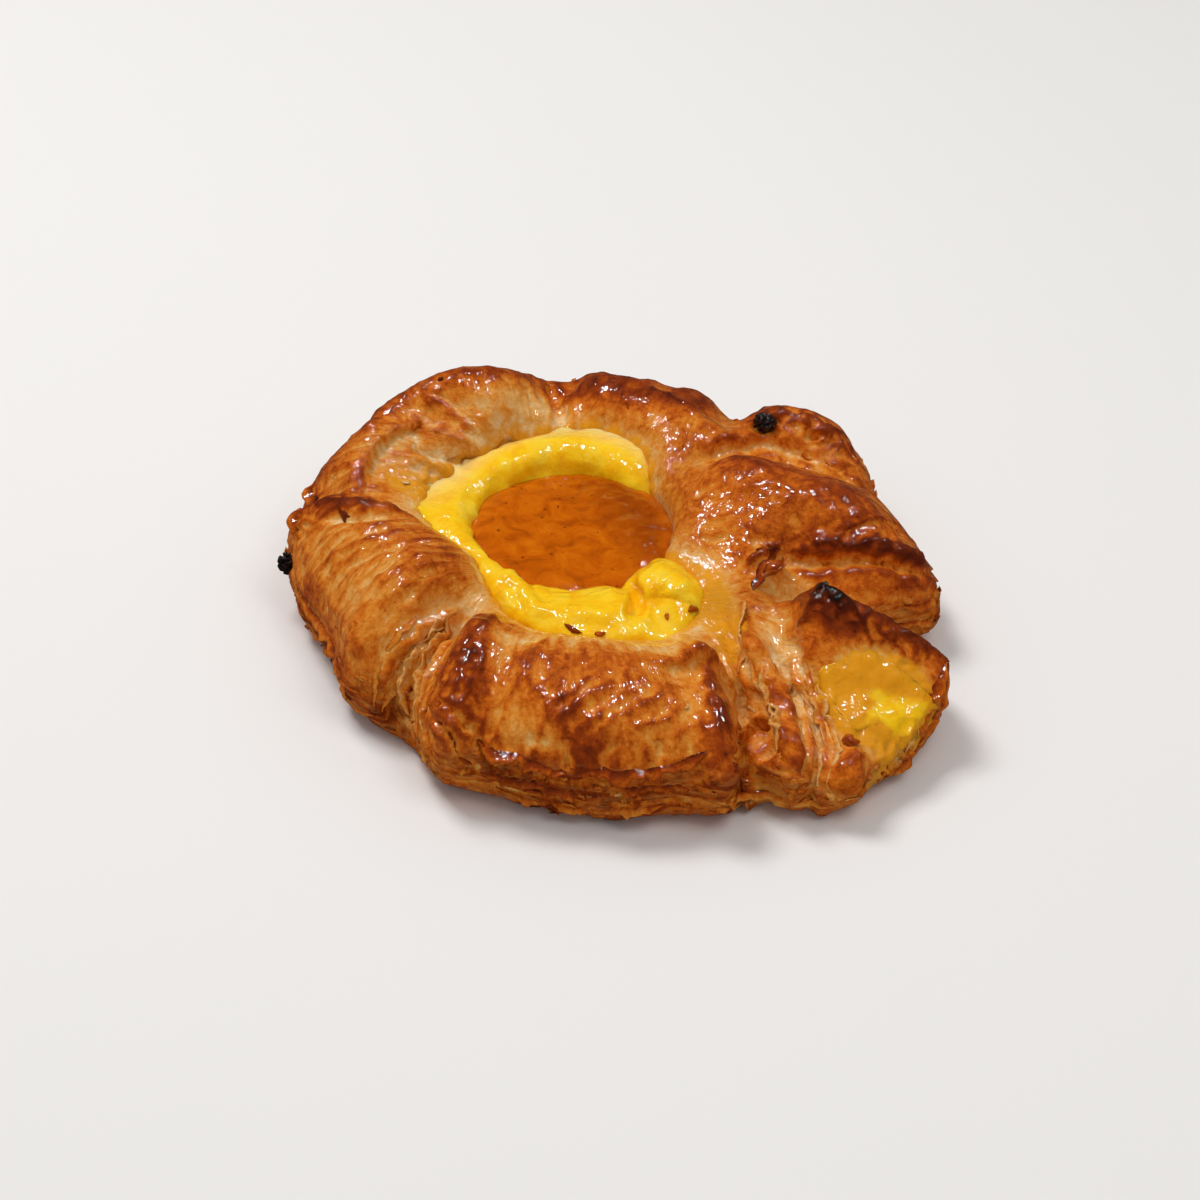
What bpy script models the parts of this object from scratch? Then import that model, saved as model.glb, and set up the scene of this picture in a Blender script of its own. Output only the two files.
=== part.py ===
"""Danish pastry: laminated dough gathered in puffed lobes round a well of custard, with apricot jam on it.

Standalone Blender 4.5 script. Metres, +Z up, origin at the middle of the underside, on the surface it rests on.
The dough, the custard and the jam each start as a UV sphere whose rings are led along the piece's own section:
from the middle of its top, outwards over the crest, down its side and back under it.
"""
import math

import bpy
import numpy as np
from mathutils import Matrix, Vector

MM = 0.001
GAP = 0.35  # clearance between touching pieces, in mm

# ---- driving sizes, in mm; angles are in degrees round the well, from +X towards +Y ----
WELL = (-10.0, 13.0)  # middle of the well, seen from above
MIDDLE = (-2.31, 3.26)  # middle of the whole, seen from above, which becomes the origin
FLOOR_Z = 6.0  # dough left under the custard
BULGE_Z = 8.5  # height where the side stands out furthest
FOOT_IN = 5.0  # how far the foot lies inside the bulge
RISE, RISE_SHARE = 14.0, 0.45  # run from the lip to the inner crest: at most this, and this share of the width
FALL, FALL_SHARE = 22.0, 0.55  # the same from the outer crest to the bulge

JAM_RADIUS = 20.0
JAM_TOP_Z = 17.2
JAM_DOME = 0.9
JAM_DEPTH = 3.4
JAM_EDGE = 0.7  # rounding of its edge

# Radius of the outer rim at its bulge
RIM = ((2, 68.5), (14, 66), (24, 68), (30, 70), (38, 67), (44, 64), (49, 57.5), (55, 58), (66, 53), (82, 52), (92, 52),
       (112, 54), (124, 54), (138, 54.5), (152, 56), (163, 57), (178, 55.5), (192, 54), (205, 52), (219, 54), (234, 59),
       (247, 62), (263, 66.5), (278, 70.5), (290, 73), (301, 77), (307, 84.5), (313, 84), (321, 83.5), (329, 82.5),
       (335, 77), (341, 65), (347, 71))
# Radius of the dough's inner lip, where the custard ends
LIP = ((0, 20.6), (25, 20.6), (40, 22), (56, 27), (80, 31), (102, 29.5), (125, 28), (145, 29.5), (160, 30.5),
       (175, 28.5), (192, 25.5), (215, 22.5), (235, 26), (255, 33), (275, 37), (295, 40), (308, 39), (320, 33),
       (332, 22.6), (345, 20.6))
# Height of the lip, of the lobes' inner crest and of their outer crest
LIP_Z = ((0, 18), (50, 19), (90, 19.5), (150, 19.5), (200, 18), (250, 16), (290, 16), (320, 18), (340, 18))
CREST_IN_Z = ((5, 27), (30, 25), (60, 27.5), (80, 28), (92, 25.5), (115, 31), (140, 27.5), (160, 22), (180, 24),
              (205, 27), (225, 26.5), (245, 22), (268, 25), (285, 24.5), (300, 21), (318, 20), (335, 22), (350, 26))
CREST_OUT_Z = ((5, 26), (25, 22), (45, 24), (60, 26.5), (80, 28), (92, 25.5), (115, 31), (140, 29.5), (160, 26),
               (180, 24.5), (205, 27), (225, 26.5), (245, 22), (268, 25.5), (285, 24), (300, 16), (318, 15), (330, 15),
               (341, 15), (352, 24))
# Height of the custard's own rim, between jam and dough, and how far below the lip it meets the dough at most
CUSTARD_Z = ((0, 13.4), (35, 13.6), (52, 20), (80, 22), (110, 21.5), (140, 20.5), (170, 20.5), (205, 19.5), (240, 19.5),
             (275, 20), (292, 19.8), (299, 17.4), (307, 21), (320, 20.4), (333, 16), (345, 13.4))
BELOW_LIP = 0.5
CUSTARD_CREST = 0.35  # where that rim lies across the custard's width

# Corner flap, a folded point of dough: a low pyramid round its burnt tip, given by its foot points in turn
FLAP_TIP = (36.5, -22, 31)
FLAP_FOOT = ((41, -56, 0), (62, -29, 17), (46, -12, 15), (30, -15, 20), (31, -34, 15))
FLAP_ROUND = 0.6  # rounding of the folded edges
FLAP_HOLLOW = ((49, -39), 3.6, 8.5)  # middle, depth and radius of the dip in its face
CORNER_POOL = ((46.8, -37.6), (7.0, 5.6), 1.8)  # middle, half sizes and depth of the custard lying in that dip
POOL_EDGE = 0.15  # thickness of that pool's edge, as a share of its depth
POOL_GAP = 0.5  # clearance under it, which its facets need over the dough's own

# Reliefs: name, kind, height, width, then points (x, y) seen from above.
# A ridge stands up, a crease sinks in, and a fold stands up on the right of its line and sinks on the left.
RELIEFS = (
    ("crease between the two back lobes", "crease", 5.5, 3.4, ((-13, 58), (-12, 51), (-12, 41))),
    ("back left lobe over its pocket", "crease", 5.0, 3.8, ((-48, 42), (-37, 37), (-26, 31))),
    ("crest of the back left lobe", "ridge", 2.0, 5.0, ((-52, 40), (-40, 45), (-28, 48), (-16, 50))),
    ("left lobe lapped over its neighbour", "fold", 3.4, 5.5, ((-69, 21), (-59, 17), (-50, 13), (-42, 10), (-34, 3))),
    ("recess between left and front lobes", "crease", 8.5, 4.4, ((-24, -10), (-33, -24), (-41, -34), (-48, -44))),
    ("left end of the left lobe", "ridge", 3.0, 4.0, ((-34, -6), (-44, -18), (-56, -29))),
    ("left end of the front lobe", "ridge", 6.0, 4.0, ((-23, -17), (-27, -30), (-30, -43), (-33, -58))),
    ("right end of the front lobe", "ridge", 5.5, 4.0, ((12, -27), (16, -36), (18, -46), (16, -62))),
    ("crease right of the front lobe", "crease", 7.5, 3.6, ((17, -22), (22, -34), (24, -46), (23, -64))),
    ("first pleat", "ridge", 5.0, 3.4, ((19, -22), (26, -33), (30, -44), (30, -62))),
    ("crease between the pleats", "crease", 3.4, 3.0, ((25, -22), (31, -34), (34, -45), (35, -62))),
    ("right lobe lapped over the valley", "fold", 5.0, 6.5, ((70, -3), (56, -5), (43, -7), (31, -6), (22, -9))),
    ("ridge along the right lobe", "ridge", 4.0, 7.0, ((14, 22), (27, 17), (38, 11), (52, 8))),
    ("crease behind the right lobe", "crease", 5.5, 4.0, ((11, 27), (24, 32), (37, 32), (62, 24))),
    ("back right lobe", "ridge", 4.0, 5.5, ((25, 47), (36, 45), (48, 41))),
    ("notch of the back rim", "crease", 3.6, 3.8, ((19, 40), (25, 52), (28, 64))),
    ("notch of the left rim", "crease", 3.6, 3.0, ((-54, 20), (-64, 24), (-74, 27))),
)
RELIEF_END = 0.2  # share of a relief's length over which each of its ends fades
FOLD_EDGE = 2.0  # run over which a fold goes from sunk to raised
SMOOTHING = 3  # rounds of smoothing after the reliefs

# Sections round each piece, closer together round the flap and the pleats: how much, where and how far round
DOUGH_SECTIONS, CUSTARD_SECTIONS, JAM_SECTIONS = 150, 60, 48
FINE_GAIN, FINE_ANGLE, FINE_SPAN = 1.3, 303, 30

# Burnt raisins: middle and size
RAISINS = {"raisin_back": ((29.6, 41.1, 24.2), (4.8, 4.0, 3.8)), "raisin_left": ((-65.5, 10.9, 10.8), (3.6, 4.6, 4.4))}
WRINKLE = 0.10  # depth of a raisin's wrinkles, as a share of its size

# name: (colour, roughness)
FINISHES = {"dough": ((0.55, 0.22, 0.05, 1), 0.35), "custard": ((0.95, 0.68, 0.09, 1), 0.3),
            "jam": ((0.70, 0.24, 0.01, 1), 0.15), "raisin": ((0.02, 0.015, 0.015, 1), 0.4)}


def around(knots, angle):
    """Smooth periodic curve through (degrees, value) knots, read at angles in degrees."""
    at, value = np.array(knots, float).T
    at = np.concatenate([at[-2:] - 360, at, at[:2] + 360])
    value = np.concatenate([value[-2:], value, value[:2]])
    slope = np.gradient(value, at)
    angle = np.mod(angle, 360)
    i = np.clip(np.searchsorted(at, angle, side="right") - 1, 0, len(at) - 2)
    span = at[i + 1] - at[i]
    t = (angle - at[i]) / span
    return ((2 * t**3 - 3 * t**2 + 1) * value[i] + (t**3 - 2 * t**2 + t) * span * slope[i]
            + (3 * t**2 - 2 * t**3) * value[i + 1] + (t**3 - t**2) * span * slope[i + 1])


def ease(t):
    """0 to 1 with a level start and end."""
    t = np.clip(t, 0, 1)
    return t * t * (3 - 2 * t)


def along_rim(count):
    """Angles of count sections, in degrees, evenly spread along the outer rim and closer by the flap."""
    fine = np.linspace(0, 360, 1441)
    rim = around(RIM, fine)
    x, y = rim * np.cos(np.radians(fine)), rim * np.sin(np.radians(fine))
    finer = 1 + FINE_GAIN * np.exp(-(((fine - FINE_ANGLE) / FINE_SPAN) ** 2))
    walked = np.concatenate([[0], np.cumsum(np.hypot(np.diff(x), np.diff(y)) * finer[1:])])
    return np.interp(np.arange(count) / count * walked[-1], walked, fine)


def well_wall(radius, top_z, clear=0.0):
    """(radius, height) up the well's wall and out of its floor, which the dough and the custard share."""
    return [(0.5 * radius, FLOOR_Z + clear), (0.94 * radius, FLOOR_Z + clear), (0.985 * radius, 0.5 * (FLOOR_Z + top_z))]


def dough_section(angle):
    """Rings of the dough from the well's floor to the underside: radius, height, share of the reliefs that the
    ring takes, and how far the way they move it leans outwards from straight up."""
    lip, lip_z, rim = around(LIP, angle), around(LIP_Z, angle), around(RIM, angle)
    inner_z, outer_z = around(CREST_IN_Z, angle), around(CREST_OUT_Z, angle)
    width = rim - lip
    rise, fall = np.minimum(RISE, RISE_SHARE * width), np.minimum(FALL, FALL_SHARE * width)
    rings = [(radius, height, 0, 0) for radius, height in well_wall(lip, lip_z) + [(lip, lip_z)]]
    for turn in np.radians((18, 36, 54, 72, 90)):  # from the lip up to the inner crest
        rings.append((lip + rise * (1 - math.cos(turn)), lip_z + (inner_z - lip_z) * math.sin(turn),
                      ease(2 * turn / math.pi), 0))
    for share in (0.2, 0.4, 0.6, 0.8, 1.0):  # over the lobe's back
        rings.append((lip + rise + (width - rise - fall) * share, inner_z + (outer_z - inner_z) * ease(share), 1, 0))
    for turn in np.radians((14, 28, 41, 54, 66, 78, 90)):  # down to the bulge
        rings.append((rim - fall * (1 - math.sin(turn)), BULGE_Z + (outer_z - BULGE_Z) * math.cos(turn), 1, turn))
    for turn in np.radians((30, 60, 90)):  # under the bulge to the foot
        rings.append((rim - FOOT_IN * (1 - math.cos(turn)), BULGE_Z * (1 - math.sin(turn)), 0.8 * math.cos(turn),
                      math.pi / 2))
    rings.append((0.5 * rim, 0, 0, 0))
    return rings


def custard_section(angle):
    """(radius, height) of each ring of the custard: the jam's bed, its own rim, and the side under it."""
    outer = around(LIP, angle) - GAP
    rim_z, lip_z = around(CUSTARD_Z, angle), around(LIP_Z, angle)
    bed_z, edge_z = JAM_TOP_Z - JAM_DEPTH - GAP, np.minimum(rim_z, lip_z - BELOW_LIP)
    inner = np.minimum(JAM_RADIUS + GAP, outer - 0.1)
    width = outer - inner
    rings = [(0.5 * inner, bed_z), (0.985 * inner, bed_z)]
    for turn in np.radians((22, 45, 68, 90)):
        rings.append((inner + CUSTARD_CREST * width * (1 - math.cos(turn)), bed_z + (rim_z - bed_z) * math.sin(turn)))
    for turn in np.radians((30, 60, 90)):
        rings.append((inner + width * (CUSTARD_CREST + (1 - CUSTARD_CREST) * math.sin(turn)),
                      edge_z + (rim_z - edge_z) * math.cos(turn)))
    return rings + well_wall(outer, lip_z, GAP)[::-1]


def jam_section(angle):
    """(radius, height) of each ring of the jam, a shallow round pool with a rounded edge."""
    radius = np.full(len(angle), JAM_RADIUS)
    bottom_z = JAM_TOP_Z - JAM_DEPTH
    rings = [(radius * share, JAM_TOP_Z + JAM_DOME * (1 - share**2)) for share in (0.35, 0.65, 0.88)]
    rings += [(radius - 0.4 * JAM_EDGE, JAM_TOP_Z - 0.2 * JAM_EDGE), (radius, JAM_TOP_Z - JAM_EDGE)]
    return rings + [(radius - 0.5 * JAM_EDGE, bottom_z), (radius * 0.6, bottom_z)]


def lead_rings(name, rings, angles, top_z, bottom_z):
    """A UV sphere whose rings are led along a section; returns it with each vertex's ring and column."""
    count = len(angles)
    bpy.ops.mesh.primitive_uv_sphere_add(segments=count, ring_count=len(rings) + 1)
    piece = bpy.context.object
    piece.name = piece.data.name = name
    places = []
    for vertex in piece.data.vertices:
        x, y, z = vertex.co
        ring = round(math.acos(max(-1, min(1, z))) / math.pi * (len(rings) + 1)) - 1
        column = round(math.atan2(y, x) / math.tau * count) % count
        places.append((ring, column))
        if 0 <= ring < len(rings):
            radius, height = (np.broadcast_to(value, count)[column] for value in rings[ring][:2])
            turn = math.radians(angles[column])
            vertex.co = Vector((WELL[0] + radius * math.cos(turn), WELL[1] + radius * math.sin(turn), height)) * MM
        else:
            vertex.co = Vector((*WELL, top_z if ring < 0 else bottom_z)) * MM
    piece.data.update()
    return piece, places


def smooth_line(points, count=24):
    """Catmull-Rom curve through a few points."""
    points = np.array(points, float)
    ends = np.vstack([2 * points[0] - points[1], points, 2 * points[-1] - points[-2]])
    out = []
    for u in np.linspace(0, len(points) - 1, count):
        i = min(int(u), len(points) - 2)
        t = u - i
        a, b, c, d = ends[i:i + 4]
        out.append(0.5 * (2 * b + (c - a) * t + (2 * a - 5 * b + 4 * c - d) * t * t
                          + (3 * b - a - 3 * c + d) * t**3))
    return np.array(out)


def relief_of(kind, height, width, line, points):
    """How far one relief moves each point, by its distance from the relief's line seen from above."""
    best = np.full(len(points), np.inf)
    side = np.zeros(len(points))
    share = np.zeros(len(points))
    for i, step in enumerate(np.diff(line, axis=0)):
        t = np.clip((points - line[i]) @ step / (step @ step), 0, 1)
        away = points - line[i] - t[:, None] * step
        far = np.hypot(away[:, 0], away[:, 1])
        nearer = far < best
        best[nearer] = far[nearer]
        side[nearer] = (away[:, 0] * step[1] - away[:, 1] * step[0])[nearer] / np.hypot(step[0], step[1])
        share[nearer] = ((i + t) / (len(line) - 1))[nearer]
    bell = np.exp(-((best / width) ** 2)) * ease(share / RELIEF_END) * ease((1 - share) / RELIEF_END)
    return height * bell * {"ridge": 1, "crease": -1, "fold": np.tanh(side / FOLD_EDGE)}[kind]


def plane_through(a, b, c):
    """(point, slope along x, slope along y) of the plane through three points."""
    normal = np.cross(np.subtract(b, a), np.subtract(c, a))
    return np.array(a, float), -normal[0] / normal[2], -normal[1] / normal[2]


def soft_min(values, rounding):
    """The least of several heights, with its edges rounded."""
    values = np.array(values)
    least = values.min(axis=0)
    return least - rounding * np.log(np.exp((least - values) / rounding).sum(axis=0))


def flap_height(points):
    """Height of the corner flap at points seen from above."""
    heights = []
    for i, foot in enumerate(FLAP_FOOT):
        start, along_x, along_y = plane_through(FLAP_TIP, foot, FLAP_FOOT[(i + 1) % len(FLAP_FOOT)])
        heights.append(start[2] + (points[:, 0] - start[0]) * along_x + (points[:, 1] - start[1]) * along_y)
    middle, depth, radius = FLAP_HOLLOW
    away = np.hypot(points[:, 0] - middle[0], points[:, 1] - middle[1])
    heights[0] -= depth * np.exp(-((away / radius) ** 2))
    return soft_min(heights, FLAP_ROUND)


def coordinates(piece):
    """The piece's vertices, in mm."""
    flat = np.empty(3 * len(piece.data.vertices))
    piece.data.vertices.foreach_get("co", flat)
    return flat.reshape(-1, 3) / MM


def set_coordinates(piece, points):
    piece.data.vertices.foreach_set("co", (points * MM).ravel())
    piece.data.update()


def add_reliefs(piece, places, rings, angles):
    """Moves the dough's vertices by the sum of the reliefs, smooths them, then raises the corner flap."""
    points = coordinates(piece)
    moved = sum(relief_of(kind, height, width, smooth_line(route), points[:, :2])
                for _name, kind, height, width, route in RELIEFS)
    group = piece.vertex_groups.new(name="reliefs")
    free = np.zeros(len(points), bool)
    for vertex, (ring, column) in enumerate(places):
        if not 0 <= ring < len(rings):
            continue
        share, lean = rings[ring][2:]
        turn = math.radians(angles[column])
        way = np.array((math.sin(lean) * math.cos(turn), math.sin(lean) * math.sin(turn), math.cos(lean)))
        points[vertex] += way * moved[vertex] * share
        group.add([vertex], float(share), "REPLACE")
        free[vertex] = share == 1
    set_coordinates(piece, points)
    smooth = piece.modifiers.new("smooth", "SMOOTH")
    smooth.factor, smooth.iterations, smooth.vertex_group = 0.5, SMOOTHING, group.name
    bpy.context.view_layer.objects.active = piece
    bpy.ops.object.modifier_apply(modifier=smooth.name)
    points = coordinates(piece)
    raised = -soft_min((-points[:, 2], -flap_height(points[:, :2])), FLAP_ROUND)
    points[:, 2] = np.maximum(np.where(free, raised, points[:, 2]), 0)
    set_coordinates(piece, points)


def lay_on(name, dough, middle, half_sizes, depth):
    """A flat lens of custard that follows the dough under it, just clear of its surface."""
    bpy.ops.mesh.primitive_uv_sphere_add(segments=24, ring_count=12, radius=1)
    piece = bpy.context.object
    piece.name = piece.data.name = name
    for vertex in piece.data.vertices:
        x, y, up = vertex.co
        x, y = middle[0] + half_sizes[0] * x, middle[1] + half_sizes[1] * y
        _hit, under, _normal, _face = dough.ray_cast(Vector((x * MM, y * MM, 1)), Vector((0, 0, -1)))
        thick = depth * (POOL_EDGE + max(0, up)) if up > -0.5 else 0
        vertex.co = Vector((x * MM, y * MM, under.z + (POOL_GAP + thick) * MM))
    piece.data.update()
    return piece


def raisin(name, middle, size, grow=0.0):
    """A small wrinkled lump; grow makes it the cutter of its own socket, which has no wrinkles."""
    bpy.ops.mesh.primitive_ico_sphere_add(subdivisions=2, radius=1)
    piece = bpy.context.object
    piece.name = piece.data.name = name
    for vertex in piece.data.vertices:
        x, y, z = vertex.co
        wrinkled = 1 + WRINKLE * (1 if grow else math.sin(5 * x + 2 * z) * math.cos(4 * y))
        vertex.co = Vector([(m + u * wrinkled * (0.5 * s + grow)) * MM for m, u, s in zip(middle, (x, y, z), size)])
    return piece


def file_in(piece, collection):
    """Moves a piece into one collection."""
    for owner in piece.users_collection:
        owner.objects.unlink(piece)
    collection.objects.link(piece)


def finish(piece, finish_name, collection):
    """Colours a piece, shades it smooth and files it with the object."""
    colour, roughness = FINISHES[finish_name]
    material = bpy.data.materials.get(finish_name) or bpy.data.materials.new(finish_name)
    material.use_nodes = True
    shader = material.node_tree.nodes["Principled BSDF"]
    shader.inputs["Base Color"].default_value = colour
    shader.inputs["Roughness"].default_value = roughness
    piece.data.materials.append(material)
    piece.data.shade_smooth()
    file_in(piece, collection)


def main():
    for old in list(bpy.data.objects):
        bpy.data.objects.remove(old)
    pastry = bpy.data.collections.new("danish pastry")
    cutters = bpy.data.collections.new("cutters")
    bpy.context.scene.collection.children.link(pastry)
    bpy.context.scene.collection.children.link(cutters)

    angles = along_rim(DOUGH_SECTIONS)
    rings = dough_section(angles)
    dough, places = lead_rings("dough", rings, angles, FLOOR_Z, 0)
    add_reliefs(dough, places, rings, angles)
    bed_z = JAM_TOP_Z - JAM_DEPTH
    angles = along_rim(CUSTARD_SECTIONS)
    custard, _places = lead_rings("custard", custard_section(angles), angles, bed_z - GAP, FLOOR_Z + GAP)
    angles = along_rim(JAM_SECTIONS)
    jam, _places = lead_rings("jam", jam_section(angles), angles, JAM_TOP_Z + JAM_DOME, bed_z)
    corner = lay_on("custard_corner", dough, *CORNER_POOL)
    for name, (middle, size) in RAISINS.items():
        socket = raisin(name + "_socket", middle, size, GAP)
        socket.hide_render, socket.display_type = True, "WIRE"
        file_in(socket, cutters)
        cut = dough.modifiers.new(name, "BOOLEAN")
        cut.object, cut.solver = socket, "EXACT"
        finish(raisin(name, middle, size), "raisin", pastry)
    for piece, finish_name in ((dough, "dough"), (custard, "custard"), (corner, "custard"), (jam, "jam")):
        finish(piece, finish_name, pastry)
    for piece in [*pastry.objects, *cutters.objects]:
        piece.data.transform(Matrix.Translation((-MIDDLE[0] * MM, -MIDDLE[1] * MM, 0)))


main()
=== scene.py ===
"""Danish pastry with custard and apricot jam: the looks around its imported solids.

It is laid out as a Blender add-on and is run as a script:
blender --background --python scene.py
"""

import math

import bpy
import numpy as np
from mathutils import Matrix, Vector, noise
from mathutils.bvhtree import BVHTree
from mathutils.kdtree import KDTree


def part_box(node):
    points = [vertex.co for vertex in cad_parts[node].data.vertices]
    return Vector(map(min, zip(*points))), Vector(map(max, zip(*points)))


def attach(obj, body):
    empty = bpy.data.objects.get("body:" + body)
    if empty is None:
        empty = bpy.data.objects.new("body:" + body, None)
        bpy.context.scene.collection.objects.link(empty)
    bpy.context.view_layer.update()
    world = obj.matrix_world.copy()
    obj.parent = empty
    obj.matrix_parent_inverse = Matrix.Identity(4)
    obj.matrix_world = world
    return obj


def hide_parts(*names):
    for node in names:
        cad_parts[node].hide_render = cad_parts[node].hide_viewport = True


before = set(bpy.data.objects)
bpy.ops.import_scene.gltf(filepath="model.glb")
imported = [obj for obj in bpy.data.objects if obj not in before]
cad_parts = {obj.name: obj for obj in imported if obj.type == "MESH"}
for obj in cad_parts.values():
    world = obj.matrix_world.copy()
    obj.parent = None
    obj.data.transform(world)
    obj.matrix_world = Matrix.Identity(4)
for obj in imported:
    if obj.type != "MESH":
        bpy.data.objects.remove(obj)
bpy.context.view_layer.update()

bl_info = {
    "name": "Danish pastry",
    "version": (1, 0, 0),
    "blender": (4, 5, 0),
    "location": "3D View > Sidebar > Pastry",
    "description": "Dresses the packed pastry in baked crust, custard, jam and raisins",
    "category": "Object",
}

MM = 0.001  # one millimetre in metres
NOISE_SEED = 5  # for the noise vectors, which would follow the clock without one
UNDERSIDE = 0.2  # mm above the table, where the underside is cut flat before it is set down on it
STROKE = 2.2  # how many times its radius a stroke of colour reaches
# Places are in millimetres from the middle of the jam, with z from the table.
JAM_LOW, JAM_HIGH = (Vector(corner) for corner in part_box("jam"))
WELL = np.array([(JAM_LOW.x + JAM_HIGH.x) / 2, (JAM_LOW.y + JAM_HIGH.y) / 2, 0.0]) / MM


# ---------------------------------------------------------------- relief of the crust

# Each line: height (or depth) and width in mm, then its points.
RIDGES = (
    # the back left lobe
    (1.6, 2.4, ((-34, 25, 26), (-29, 25, 24), (-24, 23, 23), (-20, 22, 22))),
    (0.9, 2.0, ((-42, 22, 26), (-37, 27, 26), (-34, 30, 28), (-31, 31, 30))),
    (0.8, 1.5, ((-44, 9, 23), (-41, 10, 22), (-38, 7, 22))),
    # the left lobe: its rolled lip and the fine strands behind it
    (1.0, 2.4, ((-50, 2, 22), (-47, -1, 24), (-42, -3, 26), (-38, -5, 27), (-34, -6, 27), (-30, -6, 25))),
    (0.45, 0.9, ((-51, -7, 18), (-46, -10, 23), (-39, -12, 26), (-33, -11, 27), (-28, -8, 25))),
    (0.45, 0.9, ((-48, -15, 19), (-43, -15, 23), (-36, -16, 26), (-30, -14, 27))),
    (0.4, 1.0, ((-41, -27, 20), (-35, -29, 26), (-29, -28, 29), (-23, -23, 26))),
    (0.6, 2.0, ((-49, -12, 19), (-46, -21, 17), (-41, -32, 18), (-37, -40, 17), (-36, -42, 12))),
    # the strands of the recess between the left and front lobes
    (0.9, 0.9, ((-21, -29, 19), (-27, -36, 20), (-30, -39, 19), (-33, -41, 17), (-34, -43, 12))),
    (0.9, 0.9, ((-21, -32, 17), (-25, -37, 17), (-28, -41, 15), (-29, -43, 12), (-30, -44, 8))),
    (0.7, 0.9, ((-28, -45, 10), (-25, -55, 15), (-23, -62, 16), (-20, -64, 12), (-19, -64, 9))),
    (0.8, 0.9, ((-23, -57, 19), (-20, -61, 18), (-18, -63, 15), (-15, -63, 11), (-13, -64, 8))),
    # wrinkles of the front lobe
    (0.5, 1.0, ((-2, -64, 19), (1, -62, 22), (5, -59, 24), (10, -57, 24))),
    (0.5, 0.9, ((-8, -54, 24), (-5, -58, 23), (-3, -61, 21), (-2, -63, 20))),
    (0.6, 0.9, ((-3, -60, 22), (1, -59, 23), (5, -56, 25))),
    (0.6, 0.9, ((2, -64, 19), (6, -62, 22), (9, -60, 23), (13, -58, 23))),
    (0.6, 0.9, ((6, -65, 19), (10, -63, 21), (14, -61, 22), (18, -58, 23))),
    (0.5, 0.9, ((11, -65, 19), (15, -64, 20), (19, -62, 21), (22, -58, 22))),
    (0.6, 1.2, ((4, -66, 17), (3, -68, 15), (3, -68, 12))),
    (0.8, 1.6, ((-6, -65, 3), (2, -67, 3), (9, -68, 2), (13, -69, 4), (19, -69, 5))),
    (0.9, 1.5, ((25, -52, 23), (26, -56, 22), (26, -61, 21))),
    # the feet that close the notches beside the pleats
    (3.2, 2.6, ((33, -62, -1), (33, -62, 3), (32, -61, 8))),
    (1.5, 2.0, ((46, -66, 0), (46, -66, 4), (45, -66, 8))),
    # the pleats of the front right
    (1.3, 1.1, ((36, -47, 18), (37, -50, 17), (38, -55, 16), (39, -59, 15), (39, -62, 14),
                (39, -64, 12))),
    (0.9, 1.4, ((41, -40, 18), (42, -45, 17), (44, -49, 15), (46, -52, 14), (47, -56, 13))),
    (0.7, 0.8, ((44, -54, 14), (44, -60, 13), (44, -63, 11), (43, -67, 9))),
    (1.5, 1.6, ((26, -71, 12), (30, -69, 12), (34, -66, 10), (37, -65, 11), (39, -64, 12))),
    # the curls and edges of the right lobe
    (1.3, 0.9, ((35, -19, 22), (35, -18, 23), (37, -16, 23), (39, -12, 22), (41, -11, 21))),
    (1.3, 0.9, ((35, -22, 20), (37, -20, 21), (39, -18, 21), (41, -15, 19))),
    (1.3, 1.9, ((42, -12, 20), (48, -11, 22), (55, -11, 22), (60, -11, 22), (64, -11, 20), (69, -9, 16))),
    # the far lobe
    (0.7, 1.8, ((45, 29, 24), (49, 28, 22), (51, 27, 22), (54, 26, 20))),
    (0.8, 1.8, ((37, 33, 23), (42, 31, 24), (47, 30, 23), (52, 29, 22), (57, 28, 18))),
    # the flap over the corner custard, and the run of glaze below it
    (0.8, 1.8, ((48, -36, 29), (52, -38, 26), (58, -38, 24), (62, -39, 22), (67, -40, 19),
                (70, -41, 18))),
    (0.9, 1.2, ((47, -36, 29), (44, -38, 25), (42, -38, 21))),
    (1.2, 1.2, ((46, -49, 16), (48, -51, 15), (50, -55, 14), (52, -59, 13))),
    (1.6, 2.2, ((52, -61, 12), (51, -65, 10), (51, -67, 7), (51, -67, 4))),
    (1.2, 0.9, ((-30, -43, 11), (-29, -44, 10), (-28, -46, 7), (-31, -45, 2))),
)
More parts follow.
